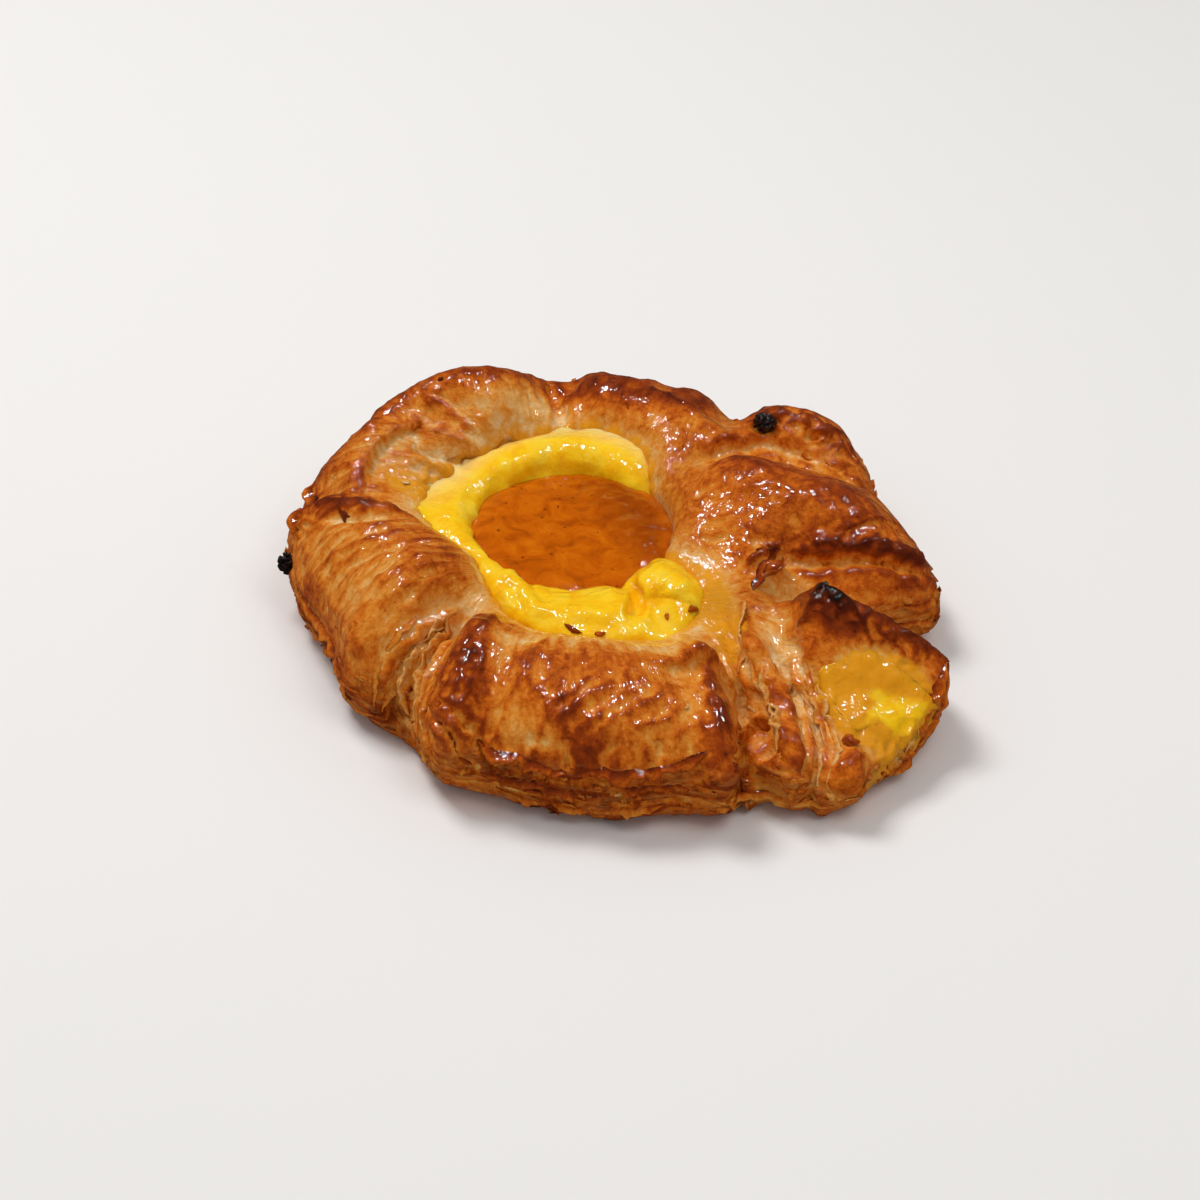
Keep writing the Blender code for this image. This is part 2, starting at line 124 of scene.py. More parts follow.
CREASES = (
    # the pocket under the back left lobe
    (2.2, 1.5, ((-32, 21, 24), (-28, 19, 24), (-24, 19, 22), (-21, 20, 20), (-19, 21, 17))),
    (1.2, 1.4, ((-11, 26, 22), (-14, 24, 19), (-17, 22, 18), (-19, 21, 17))),
    (1.8, 1.3, ((-5, 45, 23), (-4, 41, 22), (-2, 35, 22), (-2, 31, 21))),
    # the left lobe
    (1.1, 1.1, ((-48, -4, 22), (-44, -6, 24), (-40, -8, 26), (-36, -9, 27), (-31, -9, 26))),
    (0.4, 0.9, ((-45, -20, 19), (-40, -20, 24), (-34, -20, 27), (-27, -18, 27), (-22, -15, 24))),
    # the recess
    (0.9, 0.8, ((-20, -30, 18), (-25, -36, 18), (-29, -40, 17), (-32, -42, 14), (-34, -43, 9))),
    (1.0, 0.8, ((-20, -35, 20), (-24, -40, 17), (-26, -45, 15), (-26, -50, 14))),
    (2.2, 1.1, ((-33, -43, 10), (-33, -43, 8), (-33, -44, 5))),
    (1.6, 0.7, ((-29, -43, 13), (-29, -43, 11))),
    (0.8, 0.8, ((-25, -53, 15), (-22, -61, 17), (-20, -63, 14), (-18, -64, 11), (-15, -63, 7))),
    (0.9, 0.8, ((-21, -59, 20), (-18, -61, 18), (-16, -62, 14), (-14, -63, 12), (-12, -64, 9))),
    # the front lobe
    (0.5, 0.9, ((0, -65, 18), (3, -63, 21), (7, -61, 23), (11, -59, 23))),
    (0.7, 1.0, ((0, -65, 18), (0, -67, 15), (0, -68, 12))),
    (0.6, 1.0, ((8, -66, 18), (7, -68, 15), (7, -69, 12))),
    (0.6, 1.0, ((16, -66, 18), (16, -67, 16), (15, -69, 13))),
    # the pleats
    (1.3, 1.1, ((31, -43, 16), (32, -46, 13), (32, -48, 11), (31, -56, 12), (30, -64, 14))),
    (3.0, 0.9, ((31, -59, 11), (33, -56, 10), (35, -55, 12), (37, -56, 13))),
    (1.5, 0.9, ((40, -41, 16), (41, -45, 15), (41, -48, 15), (42, -53, 15), (42, -56, 15))),
    (0.9, 0.8, ((42, -56, 15), (43, -60, 14), (43, -64, 12), (42, -68, 10))),
    (0.9, 0.8, ((45, -54, 13), (45, -59, 13), (45, -63, 11), (44, -66, 9))),
    (1.6, 1.0, ((29, -68, 15), (33, -64, 12), (36, -62, 12), (38, -61, 13))),
    (1.2, 1.1, ((31, -27, 20), (31, -32, 20), (31, -39, 20), (32, -43, 18), (34, -45, 17),
                (36, -47, 18))),
    # the right lobe
    (1.6, 1.1, ((42, -13, 19), (48, -14, 20), (53, -14, 20), (59, -14, 20), (65, -14, 18),
                (69, -12, 15))),
    (0.5, 0.6, ((25, -10, 22), (28, -11, 23), (31, -11, 23))),
    (1.0, 1.2, ((26, 18, 22), (32, 22, 22), (36, 24, 21), (42, 24, 21), (49, 22, 19), (53, 21, 18))),
    # the flap
    (1.0, 1.4, ((50, -46, 20), (50, -49, 17), (51, -53, 14), (54, -58, 12))),
    (1.2, 1.8, ((42, -38, 20), (42, -43, 18), (44, -47, 16))),
)
# The side on the left of the line, seen from above and walking along it, is the raised one.
LAPS = (
    (0.7, 1.4, ((-19, 24, 25), (-22, 26, 27), (-25, 28, 29), (-29, 30, 30))),
    (1.2, 2.2, ((-15, -63, 14), (-7, -66, 12), (0, -68, 11), (6, -69, 12), (15, -69, 12),
                (20, -68, 14), (24, -68, 16))),
    (0.7, 1.3, ((50, 22, 19), (54, 21, 18), (57, 19, 16), (61, 16, 14))),
    (0.6, 1.2, ((52, -11, 23), (55, -9, 24), (60, -6, 24), (65, -2, 19))),
    (0.6, 1.2, ((29, 32, 22), (26, 32, 25), (22, 32, 27), (19, 35, 28))),
)

# ---------------------------------------------------------------- browning of the crust, and painted shade

# Each line: how brown (0 raw, 1 black), which in some lines is painted shade, radius in mm, then its points.
# A later line goes over an earlier one.
BROWNING_AND_SHADE = (
    (0.34, 10, ((-44, -16, 22), (-41, -26, 20), (-37, -34, 19))),
    (0.15, 6, ((-32, 18, 24), (-26, 16, 22), (-20, 19, 20))),
    (0.12, 5, ((-12, 27, 24), (-7, 30, 24), (-2, 33, 22))),
    (0.2, 5, ((-20, 28, 29), (-14, 30, 29), (-8, 33, 26))),
    (0.25, 4, ((-18, -27, 19), (-24, -34, 18), (-29, -40, 17), (-32, -42, 14), (-33, -43, 10))),
    # painted shade: these three lines darken the creases of the recess, on the points of their creases
    (0.62, 1.2, ((-20, -30, 18), (-25, -36, 18), (-29, -40, 17), (-32, -42, 14), (-34, -43, 9))),
    (0.62, 1.2, ((-20, -35, 20), (-24, -40, 17), (-26, -45, 15), (-26, -50, 14))),
    (0.75, 1.5, ((-33, -43, 10), (-33, -43, 8), (-33, -44, 5))),
    # the lower side of the left lobe, under its rim: these two lines are partly darker crust and partly
    # painted shade
    (0.74, 5, ((-51, -16, 9), (-46, -25, 6), (-40, -38, 6), (-36, -43, 6))),
    (0.66, 4, ((-50, -16, 14), (-45, -25, 12), (-40, -41, 10))),
    (0.5, 4, ((-43, -23, 19), (-40, -37, 18), (-36, -43, 11))),
    (0.74, 3, ((-53, 12, 16), (-50, 3, 22), (-47, -1, 24), (-42, -3, 26), (-38, -5, 27),
               (-34, -6, 27), (-31, -6, 25))),
    (0.3, 3, ((-44, -7, 24), (-38, -9, 26), (-32, -10, 26))),
    (0.56, 2, ((-47, -14, 20), (-42, -19, 23))),
    (0.54, 3, ((-38, -12, 26), (-33, -14, 27))),
    (0.2, 4, ((-12, -45, 25), (-2, -44, 24), (8, -46, 25), (14, -45, 24), (21, -45, 24))),
    (0.66, 3, ((-15, -33, 22), (-14, -40, 26), (-16, -47, 26), (-19, -53, 25), (-21, -57, 22))),
    (0.76, 3, ((-16, -50, 25), (-15, -54, 23), (-16, -57, 21), (-15, -60, 18), (-13, -61, 17))),
    (0.54, 3, ((-6, -48, 24), (2, -49, 25), (10, -50, 25), (17, -51, 24))),
    (0.6, 3, ((-8, -51, 24), (-4, -54, 25), (-6, -55, 24))),
    (0.66, 3, ((0, -62, 21), (4, -66, 18), (8, -67, 16))),
    (0.72, 2, ((0, -66, 17), (4, -67, 16), (8, -68, 14))),
    (0.66, 3, ((26, -50, 22), (28, -54, 21), (29, -59, 20), (26, -66, 18))),
    (0.76, 1.6, ((27, -52, 22), (29, -57, 21), (28, -63, 20))),
    (0.28, 2.5, ((-9, -62, 18), (-6, -64, 16), (-3, -65, 16))),
    (0.68, 4, ((-13, -64, 9), (-2, -68, 7), (10, -69, 8), (21, -69, 8))),
    (0.62, 3, ((-6, -66, 4), (2, -67, 3), (10, -68, 2), (21, -69, 4))),
    (0.72, 1.6, ((-12, -64, 11), (-3, -67, 11), (2, -68, 10), (9, -69, 11), (17, -69, 11),
                 (26, -68, 15))),
    (0.56, 3, ((25, -70, 9), (29, -70, 10), (35, -65, 8))),
    (0.42, 3, ((6, 29, 25), (14, 26, 25), (22, 22, 26))),
    (0.78, 4.5, ((-1, 43, 23), (4, 38, 26), (10, 35, 27), (16, 33, 27), (22, 34, 27), (27, 36, 24))),
    (0.62, 3, ((-33, 30, 28), (-28, 32, 31), (-20, 34, 33), (-14, 37, 32), (-6, 45, 24))),
    (0.52, 4, ((-37, 25, 27), (-30, 29, 28), (-24, 29, 30))),
    (0.62, 4, ((-53, 15, 14), (-51, 17, 19), (-47, 20, 22), (-42, 27, 24))),
    (0.5, 4, ((-46, 11, 22), (-42, 14, 22), (-37, 16, 23), (-33, 20, 24))),
    (0.68, 4, ((38, 34, 23), (45, 29, 24), (53, 28, 21), (57, 27, 17))),
    (0.42, 4, ((26, 26, 26), (32, 25, 23))),
    (0.62, 4, ((26, 19, 22), (32, 21, 21), (37, 23, 20), (42, 12, 26))),
    (0.58, 5, ((33, -2, 27), (41, -4, 26), (49, -5, 26), (56, -7, 25), (61, 0, 23))),
    (0.7, 4, ((35, 8, 28), (42, 6, 29), (48, 2, 29), (54, -3, 28))),
    (0.62, 3, ((57, 19, 16), (62, 8, 20), (65, 2, 18), (69, -6, 16), (71, -13, 15))),
    (0.8, 3, ((40, -11, 22), (46, -11, 22), (53, -11, 22), (60, -12, 21), (67, -13, 18))),
    (0.66, 3, ((61, -7, 22), (65, -3, 19))),
    (0.46, 4, ((24, 16, 23), (28, 8, 23), (29, -2, 23), (29, -9, 22))),
    # painted shade: this line darkens the deep slit beside the pleats, on the points of its crease
    (0.8, 0.6, ((31, -57, 12), (34, -54, 10), (36, -56, 13))),
    (0.64, 2, ((26, -71, 12), (30, -69, 12), (34, -66, 10), (37, -65, 11), (39, -64, 12))),
    (0.55, 3, ((46, -43, 23), (48, -46, 20), (50, -49, 16), (51, -54, 14), (52, -59, 13))),
    (0.75, 2, ((-1, -60, 22), (2, -63, 21), (3, -65, 19), (6, -67, 17))),
    (0.6, 2, ((43, -13, 19), (50, -16, 18), (58, -17, 17), (66, -17, 15))),
    (0.33, 4, ((43, -20, 18), (50, -25, 20), (56, -24, 14))),
    (0.22, 4, ((43, -46, 17), (45, -50, 14), (46, -54, 13))),
    (0.32, 4, ((38, -47, 18), (39, -53, 16), (40, -57, 16))),
    (0.56, 2, ((38, -50, 17), (40, -56, 16), (40, -60, 15))),
    (0.45, 4, ((30, -66, 2), (38, -65, 2), (43, -66, 5))),
    (0.42, 4, ((49, -67, 9), (51, -67, 7), (51, -65, 2))),
    (0.5, 5, ((49, -42, 23), (53, -43, 21), (58, -43, 20), (62, -43, 18))),
    (0.78, 3.5, ((44, -36, 25), (47, -39, 26), (52, -40, 24), (58, -41, 21), (63, -42, 19))),
    (0.58, 2.5, ((46, -38, 25), (45, -41, 22), (44, -41, 21))),
    (0.7, 2.5, ((48, -36, 29), (53, -38, 27), (58, -37, 24), (62, -39, 21), (66, -41, 19),
                (69, -41, 18))),
    (0.6, 3, ((70, -42, 16), (67, -47, 13), (63, -53, 10))),
    (0.9, 3.0, ((48, -37, 28), (50, -39, 26), (52, -40, 25))),
    (1.1, 1.5, ((47, -35, 29), (48, -36, 29), (49, -37, 28))),
    (0.45, 4, ((42, 25, 23), (45, 26, 22), (49, 25, 21))),
    (0.36, 4, ((-40, 16, 25), (-38, 18, 26), (-35, 21, 26))),
    (0.35, 5, ((-36, -32, 26), (-33, -25, 27))),
    (0.4, 3.5, ((4, 31, 24), (10, 30, 24), (16, 28, 24))),
    (0.22, 4, ((38, -37, 18), (37, -42, 18))),
    (0.68, 2, ((-8, -65, 14), (-1, -67, 14), (6, -68, 13))),
    (0.58, 2.5, ((28, -66, 7), (31, -64, 7))),
    (0.62, 0.8, ((-30, -43, 11), (-29, -44, 10), (-28, -46, 7), (-31, -45, 2))),
)

# Each line: how much custard lies over the dough, radius in mm, then its points.
FILM = (
    (0.75, 5, ((-34, 12, 22), (-31, 10, 21), (-29, 12, 20), (-26, 14, 16))),
    (0.5, 4, ((-30, 16, 23), (-25, 16, 20), (-22, 19, 19))),
    (0.9, 3, ((-29, 7, 20), (-27, 11, 19), (-24, 15, 18))),
    (0.5, 4, ((-16, 24, 24), (-11, 27, 23), (-6, 30, 22))),
    (0.9, 3, ((20, -31, 19), (24, -30, 19), (27, -32, 19), (29, -37, 19))),
    (0.7, 3, ((30, -41, 18), (31, -34, 20), (30, -28, 20))),
    (0.85, 4, ((27, -20, 20), (28, -25, 20), (28, -30, 20))),
    (0.5, 4, ((51, -47, 18), (51, -51, 15), (52, -57, 13))),
    (0.6, 5, ((58, -49, 13), (58, -55, 12), (56, -59, 10))),
    (0.8, 4, ((63, -50, 11), (61, -54, 10), (58, -59, 8), (55, -62, 5))),
)
# Each line: how rough in mm, radius in mm, then the points of a zone of knobs and torn bits.
ROUGH = (
    (0.9, 3, ((42, 30, 23), (47, 29, 23), (52, 27, 21), (57, 26, 17))),
    (0.7, 3, ((-53, 14, 15), (-52, 8, 18), (-51, 2, 20), (-52, -3, 17))),
    (0.45, 3, ((48, -36, 28), (52, -39, 26), (58, -40, 22), (64, -42, 18))),
    (0.6, 3, ((-20, -50, 22), (-21, -57, 19), (-16, -62, 14))),
    (0.5, 3, ((-12, -64, 9), (-2, -68, 8), (10, -69, 8), (22, -70, 9))),
    (0.3, 3, ((46, -11, 22), (55, -11, 22), (64, -11, 20))),
    (0.7, 3, ((68, -46, 13), (64, -52, 10), (58, -59, 7))),
    (0.6, 4, ((-34, 13, 22), (-29, 14, 20), (-25, 17, 19))),
)
# Each line: how brown, width and lift in mm, then the fixed edge of a torn leaf of dough. Its loose
# edge lies to the right of the line, seen from above and walking along it.
LEAVES = (
    # the torn edge of the front lobe and the layers under it
    (0.66, 3.0, 0.9, ((-16, -62, 15), (-12, -64, 14), (-8, -65, 14), (-3, -67, 13), (0, -68, 12))),
    (0.68, 3.0, 0.8, ((1, -68, 13), (6, -69, 14), (10, -69, 14), (15, -69, 14), (20, -68, 15),
                      (25, -68, 17))),
    (0.66, 2.6, 0.7, ((-15, -63, 9), (-8, -66, 9), (0, -68, 8), (7, -69, 8))),
    (0.62, 2.6, 0.7, ((8, -69, 10), (15, -70, 10), (22, -69, 10), (27, -70, 10))),
    (0.5, 2.2, 0.5, ((-13, -64, 5), (-2, -67, 4), (8, -68, 5), (18, -70, 6))),
    # the layers of the recess
    (0.3, 2.2, 0.8, ((-20, -30, 20), (-24, -36, 19), (-28, -41, 16), (-30, -45, 12), (-31, -48, 8))),
    (0.38, 2.2, 0.8, ((-19, -33, 22), (-23, -40, 20), (-25, -46, 17), (-27, -51, 13), (-27, -54, 9))),
    (0.45, 2.2, 0.7, ((-19, -40, 23), (-22, -46, 21), (-24, -52, 18), (-25, -57, 14), (-22, -61, 10))),
    (0.6, 2.0, 0.7, ((-20, -48, 24), (-22, -54, 21), (-22, -59, 18), (-19, -62, 14), (-16, -63, 10))),
    (0.4, 2.0, 0.7, ((-34, -45, 7), (-33, -42, 12), (-30, -39, 17), (-25, -33, 19))),
    (0.45, 2.0, 0.6, ((-36, -44, 8), (-36, -41, 13), (-34, -38, 18), (-29, -33, 21))),
    (0.35, 1.8, 0.9, ((-19, -31, 21), (-22, -36, 20), (-26, -41, 18), (-28, -46, 14), (-29, -50, 9))),
    (0.3, 1.8, 0.9, ((-22, -32, 18), (-26, -37, 18), (-29, -41, 15), (-31, -45, 10))),
    (0.5, 1.8, 0.8, ((-20, -44, 23), (-23, -50, 20), (-25, -55, 16), (-24, -59, 12), (-20, -63, 8))),
    # the rim and side of the left lobe
    (0.6, 2.6, 1.1, ((-52, 17, 17), (-53, 13, 17), (-53, 9, 18))),
    (0.62, 2.4, 1.0, ((-51, 8, 19), (-52, 4, 19), (-52, 0, 18), (-52, -4, 16))),
    (0.6, 2.4, 0.6, ((-31, -4, 25), (-36, -3, 27), (-41, -1, 26), (-46, 2, 24), (-50, 5, 21))),
    (0.55, 2.6, 0.7, ((-52, -10, 11), (-48, -21, 11), (-43, -32, 11), (-38, -41, 10))),
    (0.5, 2.6, 0.6, ((-50, -15, 7), (-46, -25, 6), (-41, -36, 6), (-36, -44, 5))),
    # the side of the right lobe
    (0.55, 2.6, 0.7, ((64, -18, 12), (69, -14, 12), (71, -8, 12), (70, -1, 12), (66, 8, 12))),
    (0.5, 2.4, 0.6, ((62, -19, 8), (68, -15, 8), (71, -8, 8), (69, 2, 8), (63, 13, 8))),
    (0.72, 2.0, 1.3, ((35, -24, 20), (36, -19, 22), (38, -15, 22), (41, -12, 21))),
    (0.68, 1.8, 1.0, ((42, -14, 20), (39, -18, 20), (36, -22, 20))),
    # the sides behind
    (0.55, 2.6, 0.7, ((52, 24, 12), (40, 36, 12), (24, 42, 13), (8, 46, 13))),
    (0.55, 2.6, 0.7, ((-6, 47, 12), (-20, 43, 13), (-34, 35, 13), (-46, 26, 12))),
    # the flap and the edge of the corner
    (0.6, 3.0, 1.1, ((56, -61, 5), (60, -57, 8), (64, -51, 11), (67, -46, 14), (70, -42, 17))),
    (0.55, 2.4, 0.9, ((57, -61, 2), (62, -56, 5), (66, -50, 8), (70, -44, 12), (71, -40, 14))),
    # the pleats
    (0.35, 1.6, 1.0, ((34, -44, 19), (36, -48, 17), (38, -52, 16), (39, -58, 15), (39, -62, 14))),
    (0.4, 1.6, 1.0, ((44, -44, 19), (45, -48, 17), (46, -51, 15), (47, -56, 13), (47, -61, 12))),
    (0.3, 2.0, 0.9, ((36, -46, 18), (37, -50, 17), (38, -55, 16), (39, -60, 15), (39, -64, 12))),
    (0.3, 2.0, 0.8, ((41, -66, 10), (42, -61, 14), (41, -55, 15), (40, -49, 16), (39, -43, 18))),
    (0.25, 1.8, 0.7, ((45, -67, 8), (45, -61, 12), (44, -55, 13), (43, -49, 15))),
    (0.3, 1.8, 0.7, ((48, -66, 7), (48, -60, 12), (47, -54, 13), (46, -48, 16))),
    (0.4, 2.2, 0.6, ((27, -71, 8), (34, -67, 5), (41, -67, 5), (48, -67, 4))),
    (0.3, 1.8, 0.8, ((31, -45, 17), (32, -40, 19), (32, -33, 20), (33, -27, 21))),
)
# Each line: half its length and width in mm, its turn in degrees, how brown, and the place of a crumb.
CRUMBS = (
    (1.6, 0.5, -40, 0.8, (1, -35, 20)),
    (0.9, 0.5, 10, 0.65, (6, -36, 20)),
    (1.1, 0.8, 30, 0.7, (24, -29, 20)),
    (0.6, 0.4, 80, 0.6, (18, -31, 20)),
    (1.9, 0.45, 70, 0.86, (-45, -6, 25)),
    (1.3, 0.4, -30, 0.86, (-44, -6, 25)),
    (0.7, 0.5, 0, 0.95, (-26, 33, 31)),
    (1.2, 0.5, 60, 0.75, (37, -14, 23)),
    (1.1, 0.6, 20, 1.15, (47, -35, 29)),
    (0.9, 0.5, 110, 1.1, (48, -37, 29)),
    (0.7, 0.4, 60, 1.15, (46, -36, 28)),
    (0.6, 0.5, 0, 1.0, (50, -38, 27)),
    (1.3, 1.1, 0, 0.72, (51, -60, 13)),
)

# Ridges and creases of the custard, as on the crust.
CUSTARD_RIDGES = (
    (0.7, 1.6, ((-13, -16, 18), (-9, -21, 19), (-6, -27, 19), (-4, -31, 18))),
    (0.6, 1.5, ((-18, -13, 18), (-12, -23, 19), (-8, -29, 18), (-5, -32, 18))),
    (1.3, 3.4, ((18, -21, 20), (21, -24, 20), (20, -27, 20))),
    (0.5, 1.4, ((-20, 17, 21), (-12, 23, 21), (0, 25, 21))),
    (0.5, 1.2, ((0, -29, 19), (5, -31, 19), (9, -31, 19))),
)
CUSTARD_CREASES = (
    (2.0, 1.2, ((13, -18, 18), (13, -25, 18), (12, -32, 19))),
    (0.6, 1.0, ((-11, -16, 18), (-7, -22, 19), (-4, -28, 19))),
    (0.5, 1.0, ((-16, -16, 18), (-11, -23, 19), (-7, -29, 18))),
    (0.8, 4.0, ((-28, 2, 19), (-27, 9, 19), (-22, 17, 19))),
    (0.7, 2.5, ((-6, -24, 19), (1, -25, 19), (8, -24, 19))),
    (0.8, 2.5, ((24, 12, 20), (22, 18, 20), (16, 24, 20))),
)


# ---------------------------------------------------------------- sculpting with arrays


class Skin:
    """A piece's mesh as arrays, in mm from the middle of the jam."""

    def __init__(self, piece):
        self.mesh = piece.data
        self.points = read(self.mesh.vertices, "co", 3) / MM - WELL
        self.edges = read(self.mesh.edges, "vertices", 2, np.int32)
        self.normals = read(self.mesh.vertex_normals, "vector", 3)

    def blurred(self, values, rounds):
        """The values averaged with their neighbours', again and again."""
        first, second = self.edges.T
        size = len(values)
        count = np.maximum(np.bincount(self.edges.ravel(), minlength=size), 1)
        columns = values.reshape(size, -1).T.copy()
        for _ in range(rounds):
            for row in columns:
                near = np.bincount(first, row[second], size) + np.bincount(second, row[first], size)
                row += (near / count - row) / 2
        return columns.T.reshape(values.shape)

    def write(self):
        places = (self.points + WELL) * MM
        self.mesh.vertices.foreach_set("co", places.astype(np.float32).ravel())
        self.mesh.update()

    def store(self, name, values):
        kind = "FLOAT_VECTOR" if values.ndim == 2 else "FLOAT"
        layer = self.mesh.attributes.new(name, kind, "POINT")
        field = "vector" if values.ndim == 2 else "value"
        layer.data.foreach_set(field, values.astype(np.float32).ravel())

    def dress(self, brown):
        """Stores what the crust's material reads, on a piece with no relief of its own."""
        self.store("bake", brown)
        self.store("film", np.zeros(len(brown)))
        self.store("layers", np.zeros(len(brown)))
        self.store("flow", self.points * [1, 1, 0.5])


def read(items, field, width, kind=np.float32):
    values = np.empty(len(items) * width, kind)
    items.foreach_get(field, values)
    values = values.reshape(-1, width)
    return values.astype(np.float64) if kind is np.float32 else values


def smooth_line(corners, step=0.8):
    """A Catmull-Rom curve through the corners, with a point about every step."""
    corners = np.array(corners, float)
    padded = np.vstack([2 * corners[0] - corners[1], corners, 2 * corners[-1] - corners[-2]])
    line = []
    for before, start, end, after in zip(padded, padded[1:], padded[2:], padded[3:]):
        count = max(2, round(np.linalg.norm(end - start) / step))
        for t in np.arange(count) / count:
            line.append(
                (2 * start + (end - before) * t + (2 * before - 5 * start + 4 * end - after) * t**2
                 + (3 * start - before - 3 * end + after) * t**3) / 2
            )
    return np.array(line + [corners[-1]])


def beside(points, normals, corners, reach):
    """The points within reach of a line: their index, distance over the surface, side and share along it."""
    line = smooth_line(corners)
    near = ((points > line.min(0) - reach) & (points < line.max(0) + reach)).all(1)
    index = np.flatnonzero(near)
    gap = points[index, None] - line[None]
    nearest = (gap**2).sum(2).argmin(1)
    gap = gap[np.arange(len(index)), nearest]
    tangent = np.gradient(line, axis=0)[nearest]
    lift = (gap * normals[index]).sum(1)
    across = np.maximum((gap**2).sum(1) - lift**2, 0)
    distance = np.sqrt(across + (0.4 * lift) ** 2)
    side = np.sign((np.cross(tangent, gap) * normals[index]).sum(1))
    share = nearest / (len(line) - 1)
    kept = distance < reach
    return index[kept], distance[kept], side[kept], share[kept]


def faded(share, part=0.2):
    """One along the middle of a line, easing to nothing at its two ends."""
    end = np.minimum(share, 1 - share) / part
    return np.sin(np.clip(end, 0.08, 1) * math.pi / 2)


def ease(low, high, values):
    share = np.clip((values - low) / (high - low), 0, 1)
    return share * share * (3 - 2 * share)


# How a stroke stands off the skin, by the distance from its line over its width, and the side.


def ridge(away, side):
    return np.exp(-(away**2))


def crease(away, side):
    return 0.3 * np.exp(-((away - 2) ** 2)) - np.exp(-(away**2))


def lap(away, side):
    over = ease(-0.35, 0.35, side * away)
    return over * np.exp(-away / 2) - 0.5 * (1 - over) * np.exp(-away)


def sculpted(base, normals, ridges, creases, laps=()):
    """The rise of each point by the ridges, creases and laps."""
    wandering = base + 0.8 * noise_shift(base, 3.2, 6)
    uneven = 1 + 0.45 * noise_of(base, 2.6, 7)
    rise = np.zeros(len(base))
    for rows, reach, profile in ((ridges, 3, ridge), (creases, 4, crease), (laps, 5, lap)):
        for height, width, corners in rows:
            index, distance, side, share = beside(wandering, normals, corners, reach * width)
            rise[index] += height * faded(share) * profile(distance / width, side) * uneven[index]
    return rise


def distance_to(node, points):
    """Each point's distance to a CAD node's corners, in mm."""
    corners = read(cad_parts[node].data.vertices, "co", 3) / MM - WELL
    tree = KDTree(len(corners))
    for index, corner in enumerate(corners):
        tree.insert(corner, index)
    tree.balance()
    return np.array([tree.find(point)[2] for point in points])


def tree_of(piece):
    """A search tree over a piece's faces."""
    return BVHTree.FromObject(piece, bpy.context.evaluated_depsgraph_get())


def nearest(tree, place):
    """The nearest place on a surface, the normal there, and how far off it is."""
    spot, normal, _, distance = tree.find_nearest(Vector((np.array(place) + WELL) * MM))
    return np.array(spot) / MM - WELL, np.array(normal), distance


def noise_of(points, size, seed=0.0):
    """Smooth noise from -1 to 1 whose lumps are about size mm wide."""
    offset = Vector((seed * 17.3, seed * 5.9, seed * 11.7))
    return np.array([noise.noise(Vector(p) / size + offset) for p in points])


def folds_of(points, size, seed=0.0):
    """Sharp crests with round valleys between them, from -1 to 1."""
    return 1 - 3.2 * np.abs(noise_of(points, size, seed))


def noise_shift(points, size, seed=0.0):
    """Smooth shifts in all three directions, from -1 to 1, the same at each run."""
    noise.seed_set(NOISE_SEED)
    offset = Vector((seed * 7.1, seed * 13.3, seed * 3.7))
    return np.array([noise.noise_vector(Vector(p) / size + offset) for p in points])


# ---------------------------------------------------------------- pieces from CAD nodes


def nothing_selected():
    bpy.ops.object.select_all(action="DESELECT")


def only(piece):
    nothing_selected()
    piece.select_set(True)
    bpy.context.view_layer.objects.active = piece


def applied(piece, kind, **settings):
    """Adds a modifier with these settings and applies it."""
    only(piece)
    modifier = piece.modifiers.new(kind.title(), kind)
    for name, value in settings.items():
        setattr(modifier, name, value)
    bpy.ops.object.modifier_apply(modifier=modifier.name)


def copied_node(node, name):
    """A new piece from a CAD node's mesh, with its loose triangles merged."""
    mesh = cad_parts[node].data.copy()
    mesh.materials.clear()
    piece = bpy.data.objects.new(name, mesh)
    bpy.context.scene.collection.objects.link(piece)
    only(piece)
    if mesh.has_custom_normals:
        bpy.ops.mesh.customdata_custom_splitnormals_clear()
    bpy.ops.object.mode_set(mode="EDIT")
    bpy.ops.mesh.select_all(action="SELECT")
    bpy.ops.mesh.remove_doubles(threshold=0.01 * MM)
    bpy.ops.object.mode_set(mode="OBJECT")
    return piece


def remeshed(piece, voxel, rounds):
    """An even, fine skin over the piece, with its facets smoothed away."""
    applied(piece, "REMESH", mode="VOXEL", voxel_size=voxel * MM, use_smooth_shade=True)
    applied(piece, "SMOOTH", factor=0.5, iterations=rounds)


def fill_selected(piece, upward):
    """Selects the faces of the fill that look up, or those that look down, and enters edit mode."""
    bpy.ops.object.mode_set(mode="OBJECT")
    for face in piece.data.polygons:
        face.select = len(face.vertices) > 20 and (face.normal.z > 0) == upward
    bpy.ops.object.mode_set(mode="EDIT")


def flat_underside(piece):
    """Cuts the flat underside down to one face, and returns it as a piece of its own."""
    only(piece)
    bpy.ops.object.mode_set(mode="EDIT")
    bpy.ops.mesh.select_all(action="SELECT")
    bpy.ops.mesh.bisect(plane_co=(0, 0, UNDERSIDE * MM), plane_no=(0, 0, 1), clear_inner=True, use_fill=True)
    bpy.ops.mesh.select_mode(type="FACE")
    # the fill also bridges a hollow of the outline, with a face that looks up
    fill_selected(piece, upward=True)
    bpy.ops.mesh.delete(type="ONLY_FACE")
    fill_selected(piece, upward=False)
    bpy.ops.mesh.separate(type="SELECTED")
    bpy.ops.object.mode_set(mode="OBJECT")
    return next(made for made in bpy.context.selected_objects if made != piece)


def thinned_below(piece, nodes):
    """Makes the mesh coarse where these nodes cover it."""
    trees = [tree_of(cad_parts[node]) for node in nodes]
    up = Vector((0, 0, 1))
    places = (Skin(piece).points + WELL) * MM
    covered = [
        index for index, place in enumerate(places)
        if any(tree.ray_cast(Vector(place) + up * MM, up)[0] for tree in trees)
    ]
    piece.vertex_groups.new(name="covered").add(covered, 1.0, "REPLACE")
    share = len(covered) / len(places)
    applied(piece, "DECIMATE", ratio=1 - 0.85 * share, vertex_group="covered")


